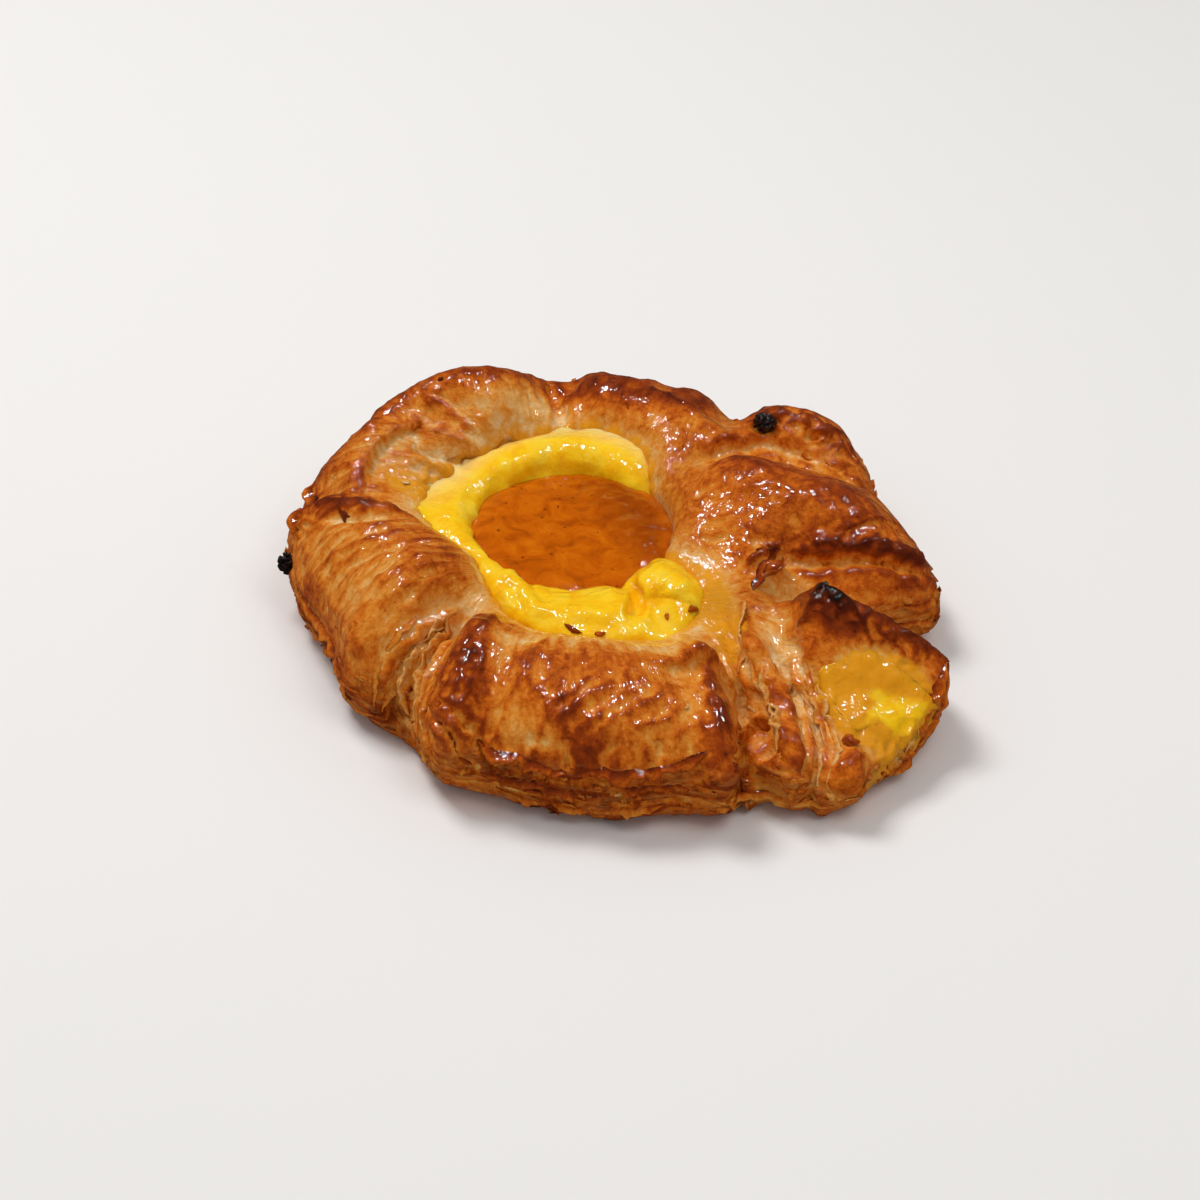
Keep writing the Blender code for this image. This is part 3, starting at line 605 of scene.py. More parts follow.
def finished(piece, nodes, material):
    """Smooths and dresses a piece, attaches it to the root, and hides the CAD nodes it stands for."""
    only(piece)
    bpy.ops.object.shade_smooth()
    piece.data.materials.clear()
    piece.data.materials.append(material)
    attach(piece, "root")
    if nodes:
        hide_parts(*nodes)


# ---------------------------------------------------------------- materials


def linear(colour):
    """An sRGB hex colour as linear RGBA."""
    channels = [int(colour[i : i + 2], 16) / 255 for i in (1, 3, 5)]
    return [c / 12.92 if c <= 0.04045 else ((c + 0.055) / 1.055) ** 2.4 for c in channels] + [1.0]


def add(tree, kind, values=None, links=None, **settings):
    """Adds a node with its settings, and the values and links of its sockets by name or number."""
    made = tree.nodes.new("ShaderNode" + kind)
    for name, value in settings.items():
        setattr(made, name, value)
    for name, value in (values or {}).items():
        made.inputs[name].default_value = value
    for name, source in (links or {}).items():
        tree.links.new(source, made.inputs[name])
    return made


def stops(node, *marks):
    """Sets a colour ramp's stops from pairs of place and colour."""
    ramp = node.color_ramp
    while len(ramp.elements) < len(marks):
        ramp.elements.new(1.0)
    for element, (place, colour) in zip(ramp.elements, marks):
        element.position = place
        element.color = linear(colour)


def new_material(name):
    material = bpy.data.materials.new(name)
    material.use_nodes = True
    material.node_tree.nodes.clear()
    return material, material.node_tree


def per_mm(size):
    """A noise scale for Object coordinates, in metres, that gives lumps of this many mm."""
    return 1 / (size * MM)


def baked_crust():
    """Laminated yeast dough, egg-washed, baked and glazed with apricot syrup: a
    golden to mahogany skin with fine strands, under a thin wet coat that sparkles."""
    colours = bpy.context.scene.pastry_colours
    material, tree = new_material("baked_laminated_dough_glazed")
    place = add(tree, "TexCoord").outputs["Object"]
    flat = add(tree, "Mapping", {"Scale": (0.16, 0.16, 1.0)}, {"Vector": place}).outputs[0]
    flow = add(tree, "Attribute", attribute_name="flow").outputs["Vector"]
    bake, film, layers = (
        add(tree, "Attribute", attribute_name=name).outputs["Fac"] for name in ("bake", "film", "layers")
    )
    noises = []
    for source, scale, detail, roughness, distortion in (
        # strands of dough pulled out from the well, about 1 mm wide
        (flow, 0.9, 6, 0.65, 0.4),
        # sponge-like browning where bubbles met the heat, about 3 mm
        (place, per_mm(2.8), 8, 0.7, 0.8),
        # freckles, and red-brown specks, about 1 mm
        (place, per_mm(0.8), 3, 0.6, 0),
        (place, per_mm(1.1), 3, 0.7, 0),
        # the flaky layers of the sides, about 1 mm apart
        (flat, per_mm(1.2), 6, 0.65, 0.5),
        # syrup in long folds over the strands, about 2 mm wide, with pools and puckers between them
        (flow, 0.6, 2, 0.6, 1.6),
        (place, per_mm(4), 1, 0.4, 1),
        (place, per_mm(1.4), 1, 0.5, 1.5),
    ):
        look = {"Scale": scale, "Detail": detail, "Roughness": roughness, "Distortion": distortion}
        noises.append(add(tree, "TexNoise", look, {"Vector": source}).outputs["Fac"])
    strands, mottle, freckles, specks, leaves, folds, pools, puckers = noises
    # the skin's crumpled leaves, about 2 mm
    crumple = add(tree, "TexNoise", {"Scale": per_mm(2.2), "Detail": 6, "Roughness": 0.6, "Distortion": 0.5},
                  {"Vector": place}, noise_type="RIDGED_MULTIFRACTAL").outputs["Fac"]

    sponge = add(tree, "MapRange", {"From Min": 0.36, "From Max": 0.64}, {"Value": mottle},
                 interpolation_type="SMOOTHSTEP").outputs[0]
    mixed = None
    for source, gain in ((strands, 0.36), (sponge, 0.14), (freckles, 0.3), (crumple, 0.12)):
        links = {0: add(tree, "Math", {1: 0.5}, {0: source}, operation="SUBTRACT").outputs[0]}
        if mixed:
            links[2] = mixed
        mixed = add(tree, "Math", {1: gain, 2: 0.0}, links, operation="MULTIPLY_ADD").outputs[0]
    # the dark zones are more even
    calm = add(tree, "MapRange", {"From Min": 0.6, "From Max": 0.85, "To Min": 1.0, "To Max": 0.45},
               {"Value": bake})
    baked = add(tree, "Math", links={0: mixed, 1: calm.outputs[0], 2: bake}, operation="MULTIPLY_ADD")
    specks = add(tree, "MapRange", {"From Min": 0.6, "From Max": 0.72, "To Max": 0.16}, {"Value": specks})
    baked = add(tree, "Math", {}, {0: baked.outputs[0], 1: specks.outputs[0]}, operation="ADD")
    baked = add(tree, "Math", {1: 0.8}, {0: baked.outputs[0]}, operation="MULTIPLY")
    ramp = add(tree, "ValToRGB", links={"Fac": baked.outputs[0]})
    stops(ramp, (0.0, colours.raw), (0.16, colours.pale), (0.3, colours.golden), (0.43, colours.amber),
          (0.56, colours.brown), (0.72, colours.mahogany), (0.95, colours.char))

    # custard seeping over the pale dough
    seep = add(tree, "Math", {1: 0.9}, {0: mottle, 2: film}, operation="MULTIPLY_ADD")
    seep = add(tree, "MapRange", {"From Min": 0.75, "From Max": 1.2, "To Min": 0.0, "To Max": 0.9},
               {"Value": seep.outputs[0]}, interpolation_type="SMOOTHSTEP")
    colour = add(tree, "Mix", {7: linear(colours.custard_film)},
                 {0: seep.outputs[0], 6: ramp.outputs["Color"]}, data_type="RGBA")

    # the pale edges of the layers
    edges = add(tree, "MapRange", {"From Min": 0.45, "From Max": 0.62, "To Min": 0.0, "To Max": 0.5},
                {"Value": leaves}, interpolation_type="SMOOTHSTEP")
    edges = add(tree, "Math", links={0: edges.outputs[0], 1: layers}, operation="MULTIPLY")
    colour = add(tree, "Mix", {7: linear(colours.layer_edge)},
                 {0: edges.outputs[0], 6: colour.outputs[2]}, data_type="RGBA")

    # the relief too fine for the mesh
    height = add(tree, "Math", {1: 0.35}, {0: crumple, 2: strands}, operation="MULTIPLY_ADD")
    layered = add(tree, "Math", {1: 1.8}, {0: leaves, 2: height.outputs[0]}, operation="MULTIPLY_ADD")
    height = add(tree, "Mix", links={0: layers, 2: height.outputs[0], 3: layered.outputs[0]},
                 data_type="FLOAT")
    bump = add(tree, "Bump", {"Strength": 1.0, "Distance": 0.6 * MM}, {"Height": height.outputs[0]})

    # the syrup, which leaves the flaky layers nearly dry
    syrup = add(tree, "Math", {1: 0.45}, {0: folds, 2: pools}, operation="MULTIPLY_ADD")
    syrup = add(tree, "Math", {1: 0.3}, {0: puckers, 2: syrup.outputs[0]}, operation="MULTIPLY_ADD")
    glaze = add(tree, "Bump", {"Strength": 1.0, "Distance": 0.24 * MM}, {"Height": syrup.outputs[0]})
    wet = add(tree, "MapRange", {"To Min": 1.0, "To Max": 0.25}, {"Value": layers})

    shader = add(tree, "BsdfPrincipled", {
        "Roughness": 0.6, "Specular IOR Level": 0.04, "Coat Roughness": 0.09, "Coat IOR": 1.4,
    }, {
        "Base Color": colour.outputs[2], "Coat Weight": wet.outputs[0],
        "Normal": bump.outputs[0], "Coat Normal": glaze.outputs[0],
    })
    add(tree, "OutputMaterial", links={"Surface": shader.outputs[0]})
    return material


def set_custard():
    """Egg custard, baked and glazed: a smooth wet yellow that glows at its thin edges."""
    colours = bpy.context.scene.pastry_colours
    material, tree = new_material("baked_egg_custard")
    place = add(tree, "TexCoord").outputs["Object"]
    thin, cream = (add(tree, "Attribute", attribute_name=name).outputs["Fac"] for name in ("thin", "cream"))
    # cloudy yellows, about 5 mm wide
    clouds = add(tree, "TexNoise", {"Scale": per_mm(5), "Detail": 5, "Roughness": 0.65, "Distortion": 0.5},
                 {"Vector": place})
    ramp = add(tree, "ValToRGB", links={"Fac": clouds.outputs["Fac"]})
    stops(ramp, (0.3, colours.custard_deep), (0.5, colours.custard), (0.72, colours.custard_light))
    # where it thins out over the dough, it turns to baked gold
    patchy = add(tree, "Math", {1: 1.2}, {0: clouds.outputs["Fac"], 2: thin}, operation="MULTIPLY_ADD")
    patchy = add(tree, "MapRange", {"From Min": 0.65, "From Max": 1.25}, {"Value": patchy.outputs[0]},
                 interpolation_type="SMOOTHSTEP")
    colour = add(tree, "Mix", {7: linear(colours.custard_baked)},
                 {0: patchy.outputs[0], 6: ramp.outputs["Color"]}, data_type="RGBA")
    # its far edge mixes with the dough
    cream = add(tree, "Math", {1: 0.85}, {0: cream}, operation="MULTIPLY")
    colour = add(tree, "Mix", {7: linear(colours.custard_cream)},
                 {0: cream.outputs[0], 6: colour.outputs[2]}, data_type="RGBA")
    # ripples of 1.6 mm in the custard, and of 3 mm in the glaze over it
    ripples = add(tree, "TexNoise", {"Scale": per_mm(1.6), "Detail": 4, "Distortion": 1.0}, {"Vector": place})
    bump = add(tree, "Bump", {"Strength": 0.5, "Distance": 0.4 * MM}, {"Height": ripples.outputs["Fac"]})
    wet = add(tree, "TexNoise", {"Scale": per_mm(3), "Detail": 1, "Distortion": 1.0}, {"Vector": place})
    glaze = add(tree, "Bump", {"Strength": 1.0, "Distance": 0.4 * MM}, {"Height": wet.outputs["Fac"]})
    shader = add(tree, "BsdfPrincipled", {
        "Roughness": 0.5, "Specular IOR Level": 0.05,
        "Coat Weight": 1.0, "Coat Roughness": 0.13, "Coat IOR": 1.4,
        "Subsurface Weight": 0.3, "Subsurface Radius": (1.0, 0.7, 0.12), "Subsurface Scale": 2.5 * MM,
    }, {"Base Color": colour.outputs[2], "Normal": bump.outputs[0], "Coat Normal": glaze.outputs[0]})
    add(tree, "OutputMaterial", links={"Surface": shader.outputs[0]})
    return material


def apricot_jam():
    """Apricot jam, warmed and spread: a deep orange jelly with pulp, wet all over."""
    colours = bpy.context.scene.pastry_colours
    material, tree = new_material("apricot_jam")
    place = add(tree, "TexCoord").outputs["Object"]
    lumpy = add(tree, "Attribute", attribute_name="lumpy").outputs["Fac"]
    # pulp in lumps of about 5 mm
    pulp = add(tree, "TexNoise", {"Scale": per_mm(5), "Detail": 5, "Roughness": 0.6, "Distortion": 1.0},
               {"Vector": place})
    ramp = add(tree, "ValToRGB", links={"Fac": pulp.outputs["Fac"]})
    stops(ramp, (0.22, colours.jam_deep), (0.5, colours.jam), (0.85, colours.jam_light))
    # dark specks of fruit skin, about 1 mm
    specks = add(tree, "TexNoise", {"Scale": per_mm(1.3), "Detail": 1}, {"Vector": place})
    specks = add(tree, "MapRange", {"From Min": 0.7, "From Max": 0.76, "To Max": 0.7},
                 {"Value": specks.outputs["Fac"]})
    colour = add(tree, "Mix", {7: linear(colours.jam_speck)},
                 {0: specks.outputs[0], 6: ramp.outputs["Color"]}, data_type="RGBA")
    # the crinkled end is darker, which is painted shade in its recesses, and it is rougher
    shade = add(tree, "Math", {1: 0.75}, {0: lumpy}, operation="MULTIPLY")
    colour = add(tree, "Mix", {7: linear(colours.jam_deep)},
                 {0: shade.outputs[0], 6: colour.outputs[2]}, data_type="RGBA")
    ripples = add(tree, "TexNoise", {"Scale": per_mm(2.8), "Detail": 1.5, "Distortion": 1.5},
                  {"Vector": place})
    depth = add(tree, "MapRange", {"To Min": 0.25, "To Max": 0.4}, {"Value": lumpy})
    glaze = add(tree, "Bump", {"Distance": 0.9 * MM},
                {"Height": ripples.outputs["Fac"], "Strength": depth.outputs[0]})
    shader = add(tree, "BsdfPrincipled", {
        "Roughness": 0.6, "Specular IOR Level": 0.0,
        "Coat Weight": 1.0, "Coat Roughness": 0.09, "Coat IOR": 1.4,
        "Subsurface Weight": 0.35, "Subsurface Radius": (1.0, 0.3, 0.03), "Subsurface Scale": 3 * MM,
    }, {"Base Color": colour.outputs[2], "Coat Normal": glaze.outputs[0]})
    add(tree, "OutputMaterial", links={"Surface": shader.outputs[0]})
    return material


def dried_fruit():
    """A raisin, baked in: nearly black, wrinkled, with a sticky shine."""
    colours = bpy.context.scene.pastry_colours
    material, tree = new_material("baked_raisin")
    place = add(tree, "TexCoord").outputs["Object"]
    # wrinkles of about 1 mm
    skin = add(tree, "TexNoise", {"Scale": per_mm(0.9), "Detail": 4}, {"Vector": place})
    ramp = add(tree, "ValToRGB", links={"Fac": skin.outputs["Fac"]})
    stops(ramp, (0.35, colours.raisin), (0.8, colours.raisin_light))
    bump = add(tree, "Bump", {"Strength": 0.7, "Distance": 0.3 * MM}, {"Height": skin.outputs["Fac"]})
    shader = add(tree, "BsdfPrincipled", {
        "Roughness": 0.5, "Specular IOR Level": 0.1, "Coat Weight": 0.7, "Coat Roughness": 0.12,
    }, {"Base Color": ramp.outputs["Color"], "Normal": bump.outputs[0]})
    add(tree, "OutputMaterial", links={"Surface": shader.outputs[0]})
    return material


def matte_floor():
    """Smooth pale table board: no grain that the eye can see."""
    material, tree = new_material("matte_pale_board")
    colour = linear(bpy.context.scene.pastry_stage.floor)
    shader = add(tree, "BsdfPrincipled", {"Base Color": colour, "Roughness": 0.85, "Specular IOR Level": 0.1})
    add(tree, "OutputMaterial", links={"Surface": shader.outputs[0]})
    return material


# ---------------------------------------------------------------- settings


def size_of(name, description, default, low, high):
    return bpy.props.FloatProperty(
        name=name, description=description + ", in mm", default=default, min=low, max=high)


class PastrySizes(bpy.types.PropertyGroup):
    """Sizes of the fine relief"""

    crust_voxel: size_of("Crust detail", "Spacing of the crust's mesh", 0.57, 0.4, 3)
    filling_voxel: size_of("Filling detail", "Spacing of the custard's and jam's mesh", 0.5, 0.3, 3)
    wrinkles: size_of("Wrinkles", "Depth of the crust's fine wrinkles", 0.27, 0, 1)
    layers: size_of("Layers", "Depth of the flaky layers on the sides", 0.3, 0, 1)
    custard_swell: size_of("Custard swell", "How far the custard grows to meet the dough", 0.5, 0, 2)
    jam_swell: size_of("Jam swell", "How far the jam grows to meet the custard", 0.45, 0, 2)
    flakes: bpy.props.IntProperty(
        name="Flakes", description="Number of small flakes on the sides", default=420, min=1, max=3000)


def colour_of(name, description, default):
    return bpy.props.StringProperty(name=name, description=description + ", sRGB hex", default=default)


class PastryColours(bpy.types.PropertyGroup):
    """Colours of the pastry"""

    raw: colour_of("Raw", "Dough that hardly baked", "#F2D29C")
    pale: colour_of("Pale", "Lightly baked dough", "#E8AE60")
    golden: colour_of("Golden", "Golden crust", "#E08A2C")
    amber: colour_of("Amber", "Orange brown crust", "#CC6410")
    brown: colour_of("Brown", "Well baked crust", "#9A3C06")
    mahogany: colour_of("Mahogany", "Dark ridges", "#601E04")
    char: colour_of("Char", "Burnt tips", "#140805")
    layer_edge: colour_of("Layer edge", "Edges of the flaky layers", "#CC8840")
    custard_film: colour_of("Custard film", "Thin custard over dough", "#E89A14")
    custard: colour_of("Custard", "Middle of the custard", "#FFC60C")
    custard_deep: colour_of("Deep custard", "Darker parts of the custard", "#F6AE04")
    custard_light: colour_of("Light custard", "Lighter parts of the custard", "#FFDB3A")
    custard_cream: colour_of("Creamy custard", "Custard that mixes with the dough", "#F4DE9A")
    custard_baked: colour_of("Baked custard", "Custard where it is thin", "#E89A14")
    jam: colour_of("Jam", "Middle of the jam", "#C05A03")
    jam_deep: colour_of("Deep jam", "Darker parts of the jam", "#8C3A02")
    jam_light: colour_of("Light jam", "Lighter parts of the jam", "#DC7A0C")
    jam_speck: colour_of("Jam specks", "Bits of fruit skin in the jam", "#5A1C02")
    raisin: colour_of("Raisin", "Raisin skin", "#0B0607")
    raisin_light: colour_of("Raisin folds", "Raised folds of the raisin", "#2A1915")


class PastryStage(bpy.types.PropertyGroup):
    """The floor, lights and camera"""

    floor: colour_of("Floor", "The table", "#ECEAE8")
    lamp: bpy.props.FloatProperty(
        name="Lamp", description="Power of the large soft lamp", default=3.6, min=0, unit="POWER")
    sparkle: bpy.props.FloatProperty(
        name="Sparkle", description="Power of each small lamp", default=1.7, min=0, unit="POWER")
    around: bpy.props.FloatProperty(
        name="Room light", description="Strength of the light all round", default=0.38, min=0)
    elevation: bpy.props.FloatProperty(
        name="Elevation", description="Camera angle above the table", default=math.radians(36.5),
        subtype="ANGLE")
    distance: bpy.props.FloatProperty(
        name="Distance", description="Camera to its target", default=0.567, min=0.1, unit="LENGTH")


# ---------------------------------------------------------------- the pieces


class PASTRY_OT_dough(bpy.types.Operator):
    """Bakes the dough: relief, browning with painted shade in creases, and the crust's material"""

    bl_idname = "pastry.dough"
    bl_label = "Dough"

    UNDERSIDE_BROWN = 0.45  # as in the table of browning

    def execute(self, context):
        sizes = context.scene.pastry_sizes
        piece = copied_node("dough", "crust")
        remeshed(piece, sizes.crust_voxel, rounds=16)
        underside = flat_underside(piece)
        thinned_below(piece, ("custard", "jam"))
        skin = Skin(piece)
        base, normals = skin.points.copy(), skin.normals.copy()
        radius = np.hypot(base[:, 0], base[:, 1])
        # strands run out from the well, but the skin is mottled on the right lobe and behind
        mottled = 0.85 * ease(8, 30, base[:, 0]) * ease(-34, -20, base[:, 1])
        mottled = np.maximum(mottled, 0.7 * ease(12, 30, base[:, 1]))
        flow = np.column_stack([50 * (base[:, :2] / radius[:, None]), 0.22 * (radius - base[:, 2])])
        flow += mottled[:, None] * (0.6 * base - flow)
        # the flaky layers show where the sides are steep, low and on the outside
        steep = ease(0.25, 0.7, 1 - np.abs(normals[:, 2]))
        layers = steep * ease(30, 42, radius) * ease(17, 9, base[:, 2])
        to_corner = distance_to("custard_corner", base)
        to_custard = np.minimum(distance_to("custard", base), to_corner)

        height = self.relief(base, normals, to_custard)
        smoothed = ease(2, 12, to_custard) * (1 - layers) * (1 - 0.4 * mottled)
        height += sizes.wrinkles * (0.8 * folds_of(flow, 3.4, 3) + 0.45 * folds_of(flow, 1.8, 4)) * smoothed
        height += 0.5 * sizes.wrinkles * folds_of(base, 4, 14)
        warped = (base + 1.5 * noise_shift(base, 6, 15)) * [0.07, 0.07, 0.55]
        height += sizes.layers * (folds_of(warped, 1.0, 5) + 0.5 * folds_of(warped, 0.6, 16)) * layers
        grounded = ease(UNDERSIDE, 1.8, base[:, 2])
        skin.points = base + normals * (height * grounded)[:, None]
        skin.points[base[:, 2] < UNDERSIDE + 0.01, 2] = 0
        skin.write()
        skin.store("bake", self.browning_and_shade(skin, base, normals, to_custard, to_corner))
        skin.store("film", self.film(base, normals, to_custard, to_corner))
        skin.store("layers", layers)
        skin.store("flow", flow)

        below = Skin(underside)
        below.points[:, 2] = 0
        below.write()
        below.dress(np.full(len(below.points), self.UNDERSIDE_BROWN))
        only(piece)
        underside.select_set(True)
        bpy.ops.object.join()
        finished(piece, ["dough"], baked_crust())
        return {"FINISHED"}

    def relief(self, base, normals, to_custard):
        """How far each point rises by the strokes, by broad lumps, and to meet the custard."""
        height = sculpted(base, normals, RIDGES, CREASES, LAPS)
        height += 0.5 * noise_of(base, 11, 1) + 0.35 * noise_of(base, 5, 2)
        height += 0.9 * ease(3.5, 0.3, to_custard)
        rough = self.painted(base, normals, ROUGH, np.zeros(len(base)))
        return height + rough * (folds_of(base, 2.4, 24) + 0.5 * noise_of(base, 1.3, 25))

    def browning_and_shade(self, skin, base, normals, to_custard, to_corner):
        """How brown each point is: ridges and high places most, then the listed marks."""
        near = skin.blurred(skin.points, rounds=10)
        far = skin.blurred(near, rounds=90)
        fine = ((skin.points - near) * normals).sum(1)
        broad = ((near - far) * normals).sum(1)
        brown = 0.5 + 0.12 * ease(18, 28, base[:, 2]) - 0.32 * ease(10, 1.5, to_custard)
        wandering = base + 1.6 * noise_shift(base, 4.5, 8)
        for amount, reach, corners in BROWNING_AND_SHADE:
            index, distance, _, _ = beside(wandering, normals, corners, STROKE * reach)
            weight = np.exp(-((distance / reach) ** 2)) * 0.85
            brown[index] += (amount - brown[index]) * weight
        brown += (0.34 - brown) * 0.85 * ease(6, 2.5, to_corner)
        # painted shade: the deepest creases are made browner
        brown += 0.22 * ease(0.25, 0.7, -fine)
        return brown + 0.13 * np.clip(fine / 0.2, -1, 1) + 0.08 * np.clip(broad / 0.8, -1, 1)

    def film(self, base, normals, to_custard, to_corner):
        """How much custard lies over the dough beside the well and the corner."""
        around = np.maximum(ease(5, 0.8, to_custard), 1.1 * ease(7, 2, to_corner) * ease(22, 17, base[:, 2]))
        return self.painted(base, normals, FILM, around)

    def painted(self, base, normals, rows, values):
        """The values raised to those of the strokes near them."""
        wandering = base + 1.2 * noise_shift(base, 4, 9)
        for amount, reach, corners in rows:
            index, distance, _, _ = beside(wandering, normals, corners, STROKE * reach)
            values[index] = np.maximum(values[index], amount * np.exp(-((distance / reach) ** 2)))
        return values


class PASTRY_OT_custard(bpy.types.Operator):
    """Makes the custard in the well and the custard in the corner"""

    bl_idname = "pastry.custard"
    bl_label = "Custard"

    CORNER_TOP = -44  # mm in y, past which the corner's custard soon ends

    def execute(self, context):
        sizes = context.scene.pastry_sizes
        material = set_custard()
        for node, name in (("custard", "custard_filling"), ("custard_corner", "custard_in_corner")):
            piece = copied_node(node, name)
            remeshed(piece, sizes.filling_voxel, rounds=10)
            skin = Skin(piece)
            thin = self.spread(skin) if node == "custard_corner" else self.swell(skin, sizes)
            skin.write()
            skin.store("thin", thin)
            finished(piece, [node], material)
        return {"FINISHED"}

    def swell(self, skin, sizes):
        """Grows the custard out to the dough, in ridges, and a little over the jam."""
        places, normals = skin.points, skin.normals
        swell = sizes.custard_swell + sculpted(places, normals, CUSTARD_RIDGES, CUSTARD_CREASES)
        swell += 0.35 * noise_of(places, 5, 11) + 0.15 * noise_of(places, 2, 12)
        radius = np.hypot(places[:, 0], places[:, 1])
        over = ease(23, 20.5, radius) * ease(15, 17, places[:, 2]) * (1.3 + 1.2 * noise_of(places, 4, 17))
        # the far edge runs out thinly over the crust
        oval = np.hypot(places[:, 0] + 1, 0.85 * places[:, 1])
        edge = ease(21.5, 26.5, oval) * ease(-14, 0, places[:, 1]) * (places[:, 2] > 15)
        swell -= 0.6 * edge
        skin.points = places + normals * swell[:, None]
        skin.points[:, :2] *= (1 - over / radius)[:, None]
        tree = tree_of(bpy.data.objects["crust"])
        reach = 3 + 2.5 * noise_of(places, 5, 26)
        for index in np.flatnonzero(edge > 0.01):
            share = edge[index]
            point = skin.points[index]
            point[:2] *= 1 + reach[index] * share / radius[index]
            spot, normal, _ = nearest(tree, point)
            laid = spot + normal * 0.5 * (1 - share)
            skin.points[index] = point + (laid - point) * share
        skin.store("cream", ease(20.5, 26, oval) * ease(2, 16, places[:, 1]))
        return np.zeros(len(places))

    def spread(self, skin):
        """Lays the corner's custard thinly over the crust, out to an uneven edge."""
        tree = tree_of(bpy.data.objects["crust"])
        middle = skin.points.mean(0)
        share = np.linalg.norm(skin.points - middle, axis=1)
        share /= share.max()
        uneven = 1.75 + 0.8 * noise_of(skin.points, 4, 18)
        lumps = 0.35 * noise_of(skin.points, 2.2, 19) + 0.25 * noise_of(skin.points, 1.2, 20)
        thick = np.where(skin.normals[:, 2] > 0.1, 0.9 * (1 - share**2) - 0.35 + lumps, -1.2)
        wide = middle + (skin.points - middle) * uneven[:, None]
        wide[:, 1] = np.minimum(wide[:, 1], self.CORNER_TOP + 0.3 * (wide[:, 1] - self.CORNER_TOP))
        for index, point in enumerate(wide):
            spot, normal, _ = nearest(tree, point)
            skin.points[index] = spot + normal * thick[index]
        thin = np.maximum(ease(-51, -46, skin.points[:, 1]), 0.8 * ease(58, 53, skin.points[:, 0]))
        thin += 0.7 * noise_of(skin.points, 3, 27)
        return np.maximum(thin, 0.1 + 0.9 * ease(0.5, 1.0, share))


class PASTRY_OT_jam(bpy.types.Operator):
    """Makes the pool of apricot jam"""

    bl_idname = "pastry.jam"
    bl_label = "Jam"

    def execute(self, context):
        sizes = context.scene.pastry_sizes
        piece = copied_node("jam", "apricot_jam_pool")
        remeshed(piece, sizes.filling_voxel, rounds=6)
        skin = Skin(piece)
        places = skin.points
        rim = ease(16, 20, np.hypot(places[:, 0], places[:, 1]))
        lumpy = ease(2, 16, places[:, 0] + 0.4 * places[:, 1]) * (1 - rim)
        swell = sizes.jam_swell + 0.25 * noise_of(places, 6, 21)
        swell += lumpy * (0.55 * noise_of(places, 3.2, 22) + 0.3 * folds_of(places, 2.4, 23))
        skin.points = places + skin.normals * swell[:, None]
        skin.points[:, :2] *= 1.03
        skin.points[:, 2] -= 0.4 * rim
        skin.write()
        skin.store("lumpy", lumpy)
        finished(piece, ["jam"], apricot_jam())
        return {"FINISHED"}


